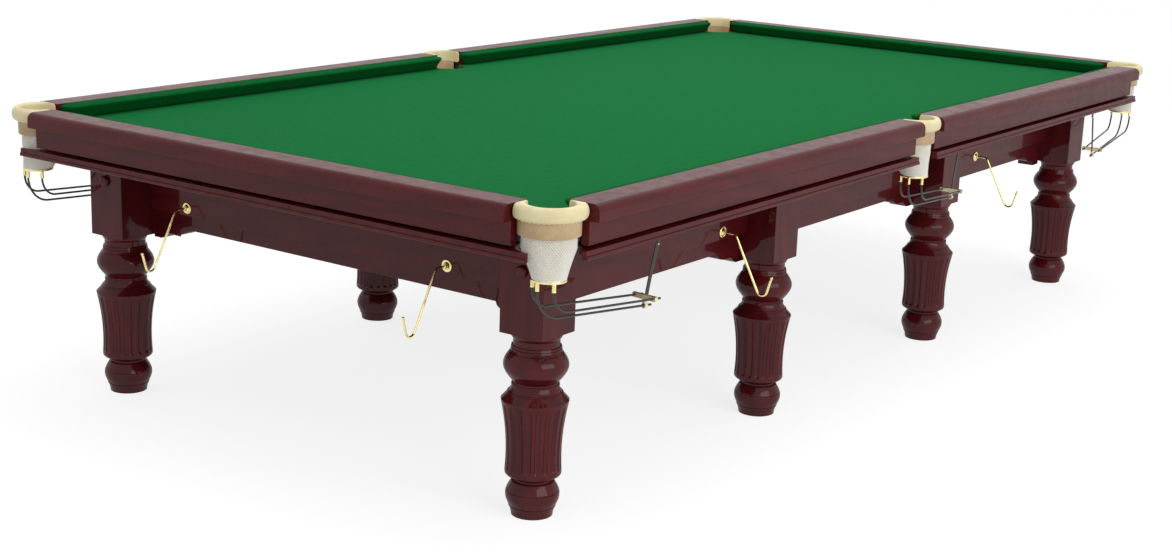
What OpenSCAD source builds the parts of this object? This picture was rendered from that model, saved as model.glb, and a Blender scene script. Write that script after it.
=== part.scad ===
// Full-size snooker table on eight turned legs.
// Millimetres, +Z up, origin on the floor under the middle of the table.
// +X runs along the table to the top end, the baulk end is at -X,
// the near long side at -Y and the far long side at +Y.
// Section sizes are taken outward from the nose line of the cushions.

/* [Playing area] */
// length between the end cushion noses
play_l = 3569; // [3450:1:3650]
// width between the long cushion noses
play_w = 1778; // [1700:1:1850]
// height of the bed cloth over the floor
bed_z = 804; // [790:1:830]
// thickness of the bed cloth
cloth_t = 3; // [2:0.5:4]
// thickness of the slates
slate_t = 45; // [40:1:50]
// slate and cloth edge beyond the nose line
slate_out = 68.5; // [66:0.5:70]

/* [Rails] */
// top of the rails over the bed
rail_h = 47; // [45:1:50]
// line on the rail top where cloth meets wood
cloth_line = 34; // [32:1:36]
// outer face of the skirt
skirt_out = 96; // [94:1:99]
// thickness of the skirt below the cap
skirt_t = 22; // [18:1:23]
// bottom of the skirt below the bed
skirt_drop = 56; // [54:1:58]
// outer face of the overhanging cap
cap_out = 124; // [118:1:128]
// height of the cap
cap_h = 43; // [40:1:46]
// radius of the rounded outer edge of the cap
cap_r = 20; // [10:1:24]
// rail end behind the nose corner at a corner pocket
rail_end_gap = 34; // [33:0.5:35]
// half gap between two rails at a middle pocket
rail_mid_gap = 66; // [65.5:0.5:68]

/* [Cushions] */
// height of the nose over the bed
nose_h = 36; // [34:1:38]
// lower edge of the cushion over the bed
cushion_lift = 2; // [1:0.5:4]
// depth at which the underside of the cushion starts
cushion_undercut = 22; // [16:1:26]
// thickness of the cover on the rubber
cover_t = 2; // [1.5:0.5:3]
// space between the rubber and its cover
rubber_gap = 0.9; // [0.8:0.1:1.2]
// cushion end short of the nose corner at a corner pocket
cushion_end_gap = 43; // [40:1:46]
// half gap between two cushions at a middle pocket
cushion_mid_gap = 60; // [57:1:63]

/* [Pockets] */
// corner pocket centre beyond both nose lines
corner_in = 20; // [18:1:22]
// middle pocket centre beyond the nose line
middle_in = 41; // [38:1:43]
// radius of the slate cut on the playing side
fall_r = 60; // [56:1:62]
// radius of the slate cut behind the pocket
back_r = 79.5; // [79:0.5:82]
// outer radius of the leather pad
pad_r = 92.5; // [90:0.5:95]
// height of the pad over the rail top
pad_rise = 3; // [1:0.5:6]
// height of the pad
pad_h = 40; // [36:1:42]
// radius of the pocket opening
mouth_r = 58; // [55:0.5:60]
// opening centre behind the pocket centre
mouth_off = 15; // [13:0.5:16]
// outer radius of the leather band below the pad
band_r = 77; // [76:0.5:78]
// bottom of the band below the bed
band_drop = 28; // [24:1:32]
// inner radius of the pocket iron in the pad
iron_r = 79; // [78:0.5:80]
// width of the pocket iron
iron_w = 6; // [4:0.5:7]
// height of the pocket iron
iron_h = 10; // [8:1:12]
// length of the iron lugs in the rails
lug_l = 30; // [20:1:40]

/* [Nets] */
// outer radius of the net under the slate
net_r = 66.5; // [64:0.5:67.5]
// thickness of the net
net_t = 2.5; // [2:0.5:3.5]
// height over the floor where the net starts to narrow
net_waist_z = 742; // [736:1:746]
// radius of the net ring
ring_r = 40; // [37:1:42]
// wire radius of the net ring
ring_wire = 3.5; // [3:0.5:4]
// height of the net ring over the floor
ring_z = 672; // [664:1:678]
// ring centre behind the pocket centre
ring_off = 25; // [20:1:30]

/* [Ball rails] */
// radius of the rods
rod_r = 3; // [2.5:0.5:3.5]
// height of the bottom rod below the pocket
rod_z = 575.5; // [568:0.5:580]
// upper rods over the bottom rod
rod_rise = 22; // [20:1:25]
// half spacing of the upper rods at the bracket
rod_half = 29; // [27:0.5:31]
// downhill slope of the rods in degrees
rod_slope = 4.5; // [3:0.5:6]
// bend radius of the bottom rod
bend_low = 80; // [70:1:84]
// bend radius of the upper rods
bend_up = 55; // [50:1:60]
// bracket distance from the ring centre
bracket_x = 350; // [330:1:360]
// rod length past the bracket
rod_over = 24; // [12:1:30]
// outward lean of the corner runs in degrees
corner_lean = 6; // [3:0.5:7]
// inward lean of the middle runs in degrees
middle_lean = 5; // [3:0.5:6]
// length of the clip tubes under the net ring
clip_l = 22; // [18:1:26]
// radius of the clip tubes
clip_r = 5; // [4.5:0.5:6]
// thickness of the leather straps
strap_t = 3; // [2:0.5:4]
// width of the leather straps
strap_w = 12; // [10:1:16]
// slant of the straps along the run
strap_slant = 42; // [20:1:50]

/* [Legs] */
// corner leg axis inside the end nose line
leg_end_in = 136.5; // [130:0.5:145]
// leg axis inside the long nose line
leg_side_in = 125; // [122:0.5:130]
// middle leg axis from the centre of the table
leg_mid_x = 550; // [520:1:600]
// width of the square leg block
block_w = 134; // [128:1:140]
// bottom of the leg block over the floor
block_z = 477; // [474:1:482]
// radius of the leg base
toe_r = 53.2; // [50:0.1:56]
// radius over the base
toe_top_r = 59.3; // [57:0.1:62]
// height of the base
toe_z = 25.4; // [20:0.1:30]
// radius of the bead
bead_r = 69; // [64:0.5:72]
// top of the bead
bead_z = 90; // [84:1:92]
// radius of the groove over the bead
groove_r = 49; // [46:0.5:52]
// top of the groove
groove_z = 97; // [95:0.5:100]
// bottom radius of the fluted shaft
shaft_r = 72.3; // [68:0.1:75]
// bottom of the fluted shaft
shaft_z = 118; // [112:1:124]
// hollow of the fluted shaft
shaft_sag = 7.2; // [5:0.1:8.5]
// radius of the barrel top
barrel_r = 86; // [82:0.5:88]
// top of the fluted shaft
barrel_z = 302; // [296:1:308]
// radius of the neck
neck_r = 57.5; // [54:0.5:61]
// height of the neck
neck_z = 352; // [346:1:356]
// largest radius of the upper ring
collar_r = 83; // [78:0.5:86]
// bottom of the upper ring
collar_z = 358; // [357:1:362]
// top of the upper ring
collar_top_z = 433; // [426:1:440]
// radius of the fillet under the block
cap_neck_r = 59; // [56:0.5:61]
// number of flutes
flute_n = 20; // [16:1:22]
// radius of the flutes
flute_r = 8.5; // [7:0.5:9]
// depth of the flutes
flute_d = 4; // [2.5:0.5:4.5]

/* [Levelling feet] */
// radius of the foot disc
foot_r = 36; // [30:1:38]
// thickness of the foot disc
foot_t = 8.5; // [6:0.5:10]
// foot disc above the floor when screwed in
foot_gap = 1.5; // [1:0.5:3]
// radius of the foot stud
stud_r = 8; // [6:0.5:10]
// length of the foot stud
stud_l = 70; // [60:1:76]

/* [Frame] */
// outer face of the long beams behind the leg face
beam_side_in = 118; // [114:1:122]
// thickness of the long beams
beam_t = 60; // [50:1:70]
// thickness of the end beams
end_beam_t = 50; // [40:1:60]
// straight lower edge of the beams over the floor
beam_z = 507; // [503:1:512]
// lower edge of the beams at the legs
beam_low_z = 465; // [464:1:467]
// height of the middle step of the scallop
scallop_mid_z = 485; // [482:1:488]
// length of the scallop beside a leg
scallop_l = 120; // [100:1:130]
// thickness of the overlay boards
apron_t = 24; // [20:1:26]
// lower edge of the overlay boards over the floor
apron_z = 556.5; // [552:0.5:560]
// depth of the cross beams
muntin_h = 100; // [80:1:120]
// width of the cross beams
muntin_w = 80; // [60:1:100]
// depth of the cross beam housings
housing_d = 15; // [8:1:20]

/* [Moulding] */
// outer face of the moulding
moulding_out = 112; // [108:1:116]
// height of the moulding
moulding_h = 22; // [20:1:24]
// set-back of the upper step of the moulding
moulding_step = 3; // [2:0.5:4]
// height of the lower step of the moulding
moulding_lip = 9; // [7:0.5:11]
// gap under the slates filled by the packing
packing_h = 14; // [12:1:16]
// packing edge beyond the nose line
packing_out = 8; // [2:1:12]
// end moulding short of the skirt corner
moulding_end = 75; // [70:1:90]
// long moulding short of the skirt corner
moulding_side_end = 104; // [98:1:112]
// radius of the moulding cut round a net
moulding_cut_r = 80; // [76:1:82]
// half gap of the moulding at a middle pocket
moulding_mid_gap = 62; // [58:1:66]

/* [Rest hooks] */
// radius of the hook wire
wire_r = 3.25; // [3:0.25:3.5]
// height of the hook pins over the floor
hook_z = 580; // [576:1:590]
// straight pin outside the board
pin_out = 35; // [28:1:40]
// radius of the bend after the pin
hook_bend = 14; // [10:1:18]
// slant of the hook wire from upright in degrees
hook_slant = 28; // [22:1:32]
// length of the slanted wire
hook_drop = 165; // [150:1:170]
// radius of the hook bowl
bowl_r = 17; // [14:1:20]
// outward lean of the hook tip in degrees
tip_lean = 16; // [8:1:22]
// length of the hook tip
tip_l = 45; // [36:1:52]
// radius of the round hook plates
plate_r = 17; // [15:0.5:20]
// height of the hook plates
plate_h = 8; // [6:0.5:10]
// baulk end hook beyond the centre line, far side
hook_far_y = 543; // [520:1:560]
// baulk end hook beyond the centre line, near side
hook_near_y = 434; // [410:1:460]
// long side hook towards the baulk end
hook_left_x = 753; // [740:1:790]
// long side hook towards the top end
hook_right_x = 939; // [900:1:980]

/* [Fastenings] */
// radius of the leg and rail bolts
bolt_r = 6; // [5:0.5:7]
// radius of the bolt heads
head_r = 11; // [10:0.5:12]
// height of the bolt heads
head_h = 7; // [6:0.5:7.5]
// height of the corner leg bolts over the floor
leg_bolt_z = 643; // [630:1:655]
// spread of the two bolts in a middle leg
leg_bolt_gap = 90; // [70:1:110]
// radius of the round bolt covers
cover_r = 15.5; // [14:0.5:17]
// height of the bolt covers
cover_h = 11; // [8:0.5:13]
// rail bolts beyond the nose line
rail_bolt_t = 52; // [49:0.5:54]
// clearance round fitted parts
fit_gap = 0.3; // [0.25:0.05:0.5]
// clearance at wood and leather ends
end_gap = 0.5; // [0.4:0.1:0.8]

/* [Hidden] */
$fn = 48;
hl = play_l / 2;
hw = play_w / 2;
eps = 0.01;
joint_r = 0.05;
joint_l = 0.5;
flute_step = 0.2;
slate_z = bed_z - cloth_t - slate_t;
packing_z = slate_z - packing_h;
board_z = packing_z - moulding_h;
rail_z = bed_z + rail_h;
cap_z = rail_z - cap_h;
skirt_z = bed_z - skirt_drop;
pad_top = rail_z + pad_rise;
pad_z = pad_top - pad_h;
band_z = bed_z - band_drop;
band_foot = 3;
iron_z = pad_z + 8;
leg_x = hl - leg_end_in;
leg_y = hw - leg_side_in;
half_b = block_w / 2;
beam_y = leg_y + half_b - beam_side_in;
beam_x = leg_x - half_b;
leg_xs = [-leg_x, -leg_mid_x, leg_mid_x, leg_x];
slate_l = 2 * (hl + slate_out) / 5;
rail_x1 = hl - rail_end_gap;
rail_y1 = hw - rail_end_gap;
clip_c = corner_in + rail_end_gap - end_gap;
clip_m = rail_mid_gap - end_gap;
stud_top = foot_gap + foot_t + stud_l;
board_back = beam_y + apron_t;
end_face = beam_x + apron_t;
tongue_t = apron_t / 2;
tongue_l = 93;
tongue_h = 110;
mould_x1 = hl + skirt_out - moulding_side_end;
mould_y1 = hw + skirt_out - moulding_end;
long_bolts = [250, 900, 1550];
end_bolts = [-560, 0, 560];
hook_xs = [-hook_left_x, hook_right_x];
clip_a = [180, 120, -120];
rod_x0 = -ring_r / 2;
rod_y0 = ring_r * sin(120);
toe_in = atan((rod_y0 - rod_half) / (bracket_x - rod_x0));
bar_z = rod_z + rod_rise - bracket_x * tan(rod_slope);
low_z = rod_z - bracket_x * tan(rod_slope);
strap_x = bracket_x + 5 + strap_slant;
wood = [0.30, 0.08, 0.09];
green = [0.12, 0.45, 0.24];
cream = [0.93, 0.85, 0.65];
brass = [0.85, 0.75, 0.40];
steel = [0.55, 0.56, 0.58];
dark = [0.16, 0.16, 0.17];
slate_c = [0.32, 0.34, 0.36];

// Helpers
module both_x() {
    children();
    mirror([1, 0, 0]) children();
}

module both_y() {
    children();
    mirror([0, 1, 0]) children();
}

// Puts a quadrant shape on the side given by the signs of x and y.
module side(x, y) {
    mirror([x < 0 ? 1 : 0, 0, 0]) mirror([0, y < 0 ? 1 : 0, 0]) children();
}

// Runs a (t, z) section along X beside the far nose line.
module along_x(x0, x1) {
    translate([x0, hw, 0]) rotate([90, 0, 90]) linear_extrude(x1 - x0) children();
}

// Runs a (t, z) section along Y beside the top nose line.
module along_y(y0, y1) {
    translate([hl, y1, 0]) rotate([90, 0, 0]) linear_extrude(y1 - y0) children();
}

module tube(r, t, z0, z1) {
    difference() {
        translate([0, 0, z0]) cylinder(h = z1 - z0, r = r);
        translate([0, 0, z0 - 1]) cylinder(h = z1 - z0 + 2, r = r - t);
    }
}

module at_corner() {
    translate([hl + corner_in, hw + corner_in, 0]) children();
}

module at_middle() {
    translate([0, hw + middle_in, 0]) children();
}

// Legs
// half wave from one radius to the next, with a bulge of the given height
function bulge(z0, r0, z1, r1, h, n) = [
    for (i = [0:n]) let (s = i / n)
    [r0 + (r1 - r0) * s + h * sin(180 * s), z0 + (z1 - z0) * s]
];

// quarter wave that leaves the first radius fast
function cove(z0, r0, z1, r1, n) = [
    for (i = [1:n]) let (s = i / n)
    [r0 + (r1 - r0) * sin(90 * s), z0 + (z1 - z0) * s]
];

// hollow arc of the shaft, from its bottom to the barrel top
chord = norm([barrel_r - shaft_r, barrel_z - shaft_z]);
arc_r = chord * chord / (8 * shaft_sag) + shaft_sag / 2;
chord_a = atan2(barrel_z - shaft_z, barrel_r - shaft_r);
arc_x = (shaft_r + barrel_r) / 2 + (arc_r - shaft_sag) * sin(chord_a);
arc_z = (shaft_z + barrel_z) / 2 - (arc_r - shaft_sag) * cos(chord_a);
arc_a0 = atan2(shaft_z - arc_z, shaft_r - arc_x) + 360;
arc_a1 = atan2(barrel_z - arc_z, barrel_r - arc_x);
arc_n = 8;
shaft_arc = [
    for (i = [0:arc_n]) let (a = arc_a0 + (arc_a1 - arc_a0) * i / arc_n)
    [arc_x + arc_r * cos(a), arc_z + arc_r * sin(a)]
];

leg_profile = concat(
    [[0, 0], [toe_r, 0]],
    bulge(toe_z, toe_top_r, bead_z, groove_r + 6, bead_r - (toe_top_r + groove_r + 6) / 2, 10),
    [[groove_r, bead_z + 3], [groove_r, groove_z]],
    cove(groove_z, groove_r, shaft_z - 4, shaft_r, 5),
    shaft_arc,
    [[barrel_r, barrel_z + 4]],
    cove(barrel_z + 4, barrel_r, neck_z, neck_r, 5),
    bulge(collar_z, neck_r + 5, collar_top_z, cap_neck_r + 5, collar_r - 63.5, 10),
    [[cap_neck_r, collar_top_z + 16], [cap_neck_r, block_z - 15]],
    cove(block_z - 15, cap_neck_r, block_z + 1, half_b - 0.5, 4),
    [[0, block_z + 1]]
);

module flutes() {
    flute_a = (arc_a0 - arc_a1) * 0.055;
    for (i = [0:flute_n - 1]) rotate([0, 0, 360 * (i + 0.5) / flute_n])
        translate([arc_x, 0, arc_z]) rotate([90, 0, 0]) {
            rotate([0, 0, arc_a1 + flute_a])
                rotate_extrude(angle = arc_a0 - arc_a1 - 2 * flute_a)
                    translate([arc_r - flute_r + flute_d, 0]) circle(flute_r);
            for (a = [arc_a1 + flute_a, arc_a0 - flute_a])
                rotate([0, 0, a]) translate([arc_r - flute_r + flute_d, 0, 0])
                    sphere(flute_r - flute_step);
        }
}

// Leg on its own axis: +x to the end of the table, +y to the outside.
module leg(corner) {
    difference() {
        union() {
            rotate_extrude() polygon(leg_profile);
            translate([-half_b, -half_b, block_z])
                cube([block_w, block_w, board_z - block_z]);
        }
        flutes();
        translate([0, 0, -1]) cylinder(h = foot_gap + foot_t + 1, r = foot_r + 2);
        cylinder(h = stud_top + 2, r = stud_r + fit_gap);
        if (corner) {
            translate([-half_b - 1, 0, leg_bolt_z]) rotate([0, 90, 0])
                cylinder(h = block_w + 2, r = bolt_r + fit_gap);
            translate([half_b - head_h - 5, 0, leg_bolt_z]) rotate([0, 90, 0])
                cylinder(h = head_h + 6, r = head_r + 1);
            translate([-half_b + tongue_t / 2 - end_gap, -half_b - 1,
                       leg_bolt_z - tongue_h / 2 - end_gap])
                cube([tongue_t + 2 * end_gap, tongue_l + end_gap + 1, tongue_h + 2 * end_gap]);
        } else {
            translate([-half_b - 1, -half_b - 1, beam_low_z - end_gap])
                cube([block_w + 2, beam_y - leg_y + half_b + 1, board_z]);
            leg_bolt_pair(fit_gap);
        }
    }
}

// Two bolts through the long beam into a middle leg, on the leg axis.
module leg_bolt_pair(c) {
    for (s = [-1, 1])
        translate([0, beam_y - leg_y - beam_t, leg_bolt_z + s * leg_bolt_gap / 2]) {
            translate([0, -head_h, 0]) rotate([-90, 0, 0])
                cylinder(h = head_h, r = head_r + c);
            rotate([-90, 0, 0]) translate([0, 0, -eps])
                cylinder(h = beam_t + 78 + c, r = bolt_r + c);
        }
}

module place_leg(i, y) {
    side(leg_xs[i], y) translate([abs(leg_xs[i]), leg_y, 0]) children();
}

module leg_near_1() { color(wood) place_leg(0, -1) leg(true); }
module leg_near_2() { color(wood) place_leg(1, -1) leg(false); }
module leg_near_3() { color(wood) place_leg(2, -1) leg(false); }
module leg_near_4() { color(wood) place_leg(3, -1) leg(true); }
module leg_far_1() { color(wood) place_leg(0, 1) leg(true); }
module leg_far_2() { color(wood) place_leg(1, 1) leg(false); }
module leg_far_3() { color(wood) place_leg(2, 1) leg(false); }
module leg_far_4() { color(wood) place_leg(3, 1) leg(true); }

// Levelling feet
module foot() {
    translate([0, 0, foot_gap]) cylinder(h = foot_t, r = foot_r);
    translate([0, 0, foot_gap + foot_t - eps]) cylinder(h = stud_l, r = stud_r);
}

module foot_near_1() { color(steel) place_leg(0, -1) foot(); }
module foot_near_2() { color(steel) place_leg(1, -1) foot(); }
module foot_near_3() { color(steel) place_leg(2, -1) foot(); }
module foot_near_4() { color(steel) place_leg(3, -1) foot(); }
module foot_far_1() { color(steel) place_leg(0, 1) foot(); }
module foot_far_2() { color(steel) place_leg(1, 1) foot(); }
module foot_far_3() { color(steel) place_leg(2, 1) foot(); }
module foot_far_4() { color(steel) place_leg(3, 1) foot(); }

// Rest hooks
// Wire that comes along -z and turns to +x; the children go on along -z again.
module wire_bend(r, turn) {
    sphere(wire_r + joint_r);
    translate([r, 0, 0]) rotate([90, 0, 0]) rotate([0, 0, 180])
        rotate_extrude(angle = turn) translate([r, 0]) circle(wire_r);
    translate([r * (1 - cos(turn)), 0, -r * sin(turn)]) rotate([0, -turn, 0]) {
        sphere(wire_r + joint_r);
        children();
    }
}

// Straight wire along -z; the children start at its end.
module wire_run(l) {
    rotate([0, 180, 0]) cylinder(h = l, r = wire_r);
    translate([0, 0, -l]) children();
}

// Hook with its pin along +x, hanging in the x-z plane.
module hook() {
    pin_l = pin_out + apron_t - 4;
    translate([pin_out, 0, 0]) rotate([180, 0, 0]) rotate([0, -90, 0]) {
        cylinder(h = pin_l, r = wire_r);
        translate([0, 0, pin_out - 2.5]) cylinder(h = 2, r = wire_r + 2.5);
        wire_bend(hook_bend, 90 - hook_slant) wire_run(hook_drop)
            rotate([0, 0, 180]) wire_bend(bowl_r, 180 - hook_slant - tip_lean)
                wire_run(tip_l) sphere(wire_r + 1);
    }
}

module hook_plate() {
    rotate([0, 90, 0]) rotate_extrude() polygon([
        [wire_r + 3, 0], [plate_r, 0], [plate_r, 1.5], [plate_r - 2, 3],
        [wire_r + 7, 4], [wire_r + 5.5, plate_h], [wire_r + 3.5, plate_h],
        [wire_r + 1.5, plate_h - 3], [wire_r + fit_gap + 0.1, plate_h - 3.5],
        [wire_r + fit_gap + 0.1, 3], [wire_r + 3, 3]
    ]);
}

module hook_hole() {
    translate([-apron_t + 3, 0, 0]) rotate([0, 90, 0])
        cylinder(h = apron_t, r = wire_r + fit_gap);
}

module at_side_hook(x, y) {
    translate([x, y * board_back, hook_z]) rotate([0, 0, y * 90]) children();
}

module at_baulk_hook(y) {
    translate([-end_face, y, hook_z]) rotate([0, 0, 180]) children();
}

module hook_baulk_left() { color(brass) at_baulk_hook(hook_far_y) hook(); }
module hook_baulk_right() { color(brass) at_baulk_hook(-hook_near_y) hook(); }
module hook_near_left() { color(brass) at_side_hook(hook_xs[0], -1) hook(); }
module hook_near_right() { color(brass) at_side_hook(hook_xs[1], -1) hook(); }
module hook_far_left() { color(brass) at_side_hook(hook_xs[0], 1) hook(); }
module hook_far_right() { color(brass) at_side_hook(hook_xs[1], 1) hook(); }

module hook_plates() {
    color(brass) {
        at_baulk_hook(hook_far_y) hook_plate();
        at_baulk_hook(-hook_near_y) hook_plate();
        for (x = hook_xs, y = [-1, 1]) at_side_hook(x, y) hook_plate();
    }
}

// Bed
// Slate cut of a pocket, with the outward direction at angle a.
module pocket_cut(a) {
    translate([0, 0, -1]) cylinder(h = bed_z + 2, r = fall_r);
    intersection() {
        translate([0, 0, -1]) cylinder(h = bed_z + 2, r = back_r);
        rotate([0, 0, a]) translate([0, -200, -1]) cube([200, 400, bed_z + 2]);
    }
}

module bed_cuts(bolt_c) {
    both_y() {
        both_x() at_corner() pocket_cut(45);
        at_middle() pocket_cut(90);
        both_x() for (x = long_bolts)
            translate([x, hw + rail_bolt_t, 0]) cylinder(h = bed_z + 2, r = bolt_r + bolt_c);
    }
    both_x() for (y = end_bolts)
        translate([hl + rail_bolt_t, y, 0]) cylinder(h = bed_z + 2, r = bolt_r + bolt_c);
}

module slate(x0, x1) {
    difference() {
        translate([x0, -hw - slate_out, slate_z])
            cube([x1 - x0, play_w + 2 * slate_out, slate_t]);
        bed_cuts(1);
    }
}

module slate_middle() { color(slate_c) slate(-slate_l / 2, slate_l / 2); }
module slates_inner() { color(slate_c) both_x() slate(slate_l / 2, 1.5 * slate_l); }
module slates_end() { color(slate_c) both_x() slate(1.5 * slate_l, 2.5 * slate_l); }

module bed_cloth() {
    color(green) difference() {
        translate([-hl - slate_out, -hw - slate_out, bed_z - cloth_t])
            cube([play_l + 2 * slate_out, play_w + 2 * slate_out, cloth_t]);
        bed_cuts(1);
    }
}

// Rails
rail_section = concat(
    [[cloth_line, bed_z], [cloth_line, rail_z]],
    [for (i = [0:8]) let (a = 90 - i * 90 / 8)
        [cap_out - cap_r + cap_r * cos(a), rail_z - cap_r + cap_r * sin(a)]],
    [[cap_out, cap_z], [skirt_out, cap_z], [skirt_out, skirt_z],
     [skirt_out - skirt_t, skirt_z], [skirt_out - skirt_t, bed_z]]
);

module rail_bolt_hole() {
    translate([0, 0, bed_z - 1]) cylinder(h = rail_h - 14, r = bolt_r + fit_gap);
}

module long_rail() {
    difference() {
        along_x(rail_mid_gap, rail_x1) polygon(rail_section);
        for (x = long_bolts) translate([x, hw + rail_bolt_t, 0]) rail_bolt_hole();
        at_corner() iron_lug(clip_c, end_gap);
        at_middle() iron_lug(-clip_m, end_gap);
    }
}

module end_rail() {
    difference() {
        along_y(-rail_y1, rail_y1) polygon(rail_section);
        for (y = end_bolts) translate([hl + rail_bolt_t, y, 0]) rail_bolt_hole();
        both_y() at_corner() mirror([1, -1, 0]) iron_lug(clip_c, end_gap);
    }
}

module rail_baulk() { color(wood) side(-1, 1) end_rail(); }
module rail_top() { color(wood) end_rail(); }
module rail_near_left() { color(wood) side(-1, -1) long_rail(); }
module rail_near_right() { color(wood) side(1, -1) long_rail(); }
module rail_far_left() { color(wood) side(-1, 1) long_rail(); }
module rail_far_right() { color(wood) long_rail(); }

// Cushions
// Section of the cushion, drawn in by c from its outer skin.
function cushion_section(c) = let (nz = bed_z + nose_h, top = rail_z - c, low = bed_z + cushion_lift + c) [
    [cloth_line, top], [6 + c, top - 5.6], [2 + c, top - 7.4], [c + 0.3, nz + 2 - c / 2],
    [c, nz], [c + 0.6, nz - 2.2], [cushion_undercut + c / 2, low], [cloth_line, low]
];

// Section turned round the cushion end, measured inward from the cloth line.
function end_section(c) = [for (p = cushion_section(c)) [cloth_line - p[0], p[1]]];

module cushion_ends(x0, x1, c) {
    translate([x0, cloth_line, 0]) rotate([0, 0, 180])
        rotate_extrude(angle = 90) polygon(end_section(c));
    translate([x1, cloth_line, 0]) rotate([0, 0, 270])
        rotate_extrude(angle = 90) polygon(end_section(c));
}

module long_cushion(c) {
    x0 = cushion_mid_gap + cloth_line;
    x1 = hl - cushion_end_gap - cloth_line;
    along_x(x0, x1) polygon(cushion_section(c));
    translate([0, hw, 0]) cushion_ends(x0, x1, c);
}

module end_cushion(c) {
    y1 = hw - cushion_end_gap - cloth_line;
    along_y(-y1, y1) polygon(cushion_section(c));
    translate([hl, 0, 0]) rotate([0, 0, -90]) cushion_ends(-y1, y1, c);
}

module cushions_long() {
    color(green) both_x() both_y() difference() {
        long_cushion(0);
        long_cushion(cover_t);
    }
}

module cushions_end() {
    color(green) both_x() difference() {
        end_cushion(0);
        end_cushion(cover_t);
    }
}

module cushion_rubbers() {
    color(dark) both_x() {
        both_y() long_cushion(cover_t + rubber_gap);
        end_cushion(cover_t + rubber_gap);
    }
}

// Pocket leathers
pad_section = [
    [mouth_off, pad_z], [pad_r - 14.5, pad_z], [pad_r - 6.5, pad_z + 3],
    [pad_r - 1.5, pad_z + 9], [pad_r, pad_z + 17], [pad_r - 1, pad_top - 14],
    [pad_r - 4, pad_top - 7], [pad_r - 10, pad_top - 2], [pad_r - 18, pad_top],
    [mouth_off, pad_top]
];

// Space between the rail ends at a pocket, from height z0 up.
module pocket_room(corner, z0) {
    t0 = cloth_line + end_gap - (corner ? corner_in : middle_in);
    if (corner) {
        for (m = [0, 1]) mirror([m, -m, 0])
            translate([-clip_c, t0, z0]) cube([300, 200, 200]);
    } else {
        translate([-clip_m, t0, z0]) cube([2 * clip_m, 200, 200]);
    }
}

// Half of the surroundings that lies outward of the pocket centre.
module outer_half(a, d) {
    rotate([0, 0, a]) translate([d, -200, band_z - 50]) cube([200, 400, 400]);
}

// Opening of a pocket with its widened rim.
module mouth_cut(a) {
    rotate([0, 0, a]) translate([mouth_off, 0, 0]) {
        translate([0, 0, band_z + band_foot]) cylinder(h = 200, r = mouth_r);
        translate([0, 0, pad_top - 8]) cylinder(h = 8 + eps, r1 = mouth_r, r2 = mouth_r + 6);
    }
}

module pocket_pad(corner) {
    difference() {
        intersection() {
            pocket_room(corner, pad_z);
            rotate_extrude() polygon(pad_section);
        }
        mouth_cut(corner ? 45 : 90);
        pocket_iron(corner, fit_gap);
    }
}

// Band under the pad, filled to the opening, with the foot that holds the net.
module pocket_band(corner) {
    a = corner ? 45 : 90;
    difference() {
        intersection() {
            union() {
                pocket_room(corner, bed_z + end_gap);
                intersection() {
                    pocket_room(corner, band_z);
                    outer_half(a, 1);
                }
            }
            translate([0, 0, band_z]) cylinder(h = pad_z - band_z, r = band_r);
        }
        mouth_cut(a);
        translate([0, 0, band_z - 1]) cylinder(h = band_foot + 1.5, r = net_r - net_t);
    }
}

module pocket_pads() {
    color(cream) both_y() {
        both_x() at_corner() pocket_pad(true);
        at_middle() pocket_pad(false);
    }
}

module pocket_bands() {
    color(cream) both_y() {
        both_x() at_corner() pocket_band(true);
        at_middle() pocket_band(false);
    }
}

// Lug of a pocket iron in the rail end that lies d beside the pocket centre.
module iron_lug(d, c) {
    yi = sqrt(pow(iron_r, 2) - pow(d, 2));
    yo = sqrt(pow(iron_r + iron_w, 2) - pow(d, 2));
    x0 = d > 0 ? -d - lug_l : -d - 1;
    translate([x0 - c, yi + joint_l - c, iron_z - c])
        cube([lug_l + 1 + 2 * c, yo - yi - 2 * joint_l + 2 * c, iron_h + 2 * c]);
}

module pocket_iron(corner, c) {
    intersection() {
        difference() {
            translate([0, 0, iron_z - c]) cylinder(h = iron_h + 2 * c, r = iron_r + iron_w + c);
            translate([0, 0, iron_z - 1]) cylinder(h = iron_h + 2, r = iron_r - c);
        }
        if (corner) {
            translate([-clip_c, -clip_c, iron_z - 2]) cube([300, 300, iron_h + 4]);
        } else {
            translate([-clip_m, 0, iron_z - 2]) cube([2 * clip_m, 200, iron_h + 4]);
        }
    }
    if (corner) {
        iron_lug(clip_c, c);
        mirror([1, -1, 0]) iron_lug(clip_c, c);
    } else {
        iron_lug(clip_m, c);
        mirror([1, 0, 0]) iron_lug(clip_m, c);
    }
}

module pocket_irons() {
    color(dark) both_y() {
        both_x() at_corner() pocket_iron(true, 0);
        at_middle() pocket_iron(false, 0);
    }
}

// Nets
module net_taper(r0, r1, z0, z1) {
    hull() {
        translate([0, 0, z0]) cylinder(h = 0.1, r = r0, $fn = 32);
        translate([ring_off, 0, z1]) cylinder(h = 0.1, r = r1, $fn = 32);
    }
}

module net(a) {
    low = ring_z + ring_wire + fit_gap;
    rotate([0, 0, a]) {
        intersection() {
            tube(net_r, net_t, slate_z - 1.1, band_z);
            translate([4, -100, slate_z - 10]) cube([100, 200, 100]);
        }
        tube(net_r, net_t, net_waist_z, slate_z - 1);
        difference() {
            net_taper(net_r, ring_r + 1.3, net_waist_z, low);
            net_taper(net_r - net_t, ring_r + 1.3 - net_t, net_waist_z + 0.05, low - 0.05);
        }
    }
}

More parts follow.
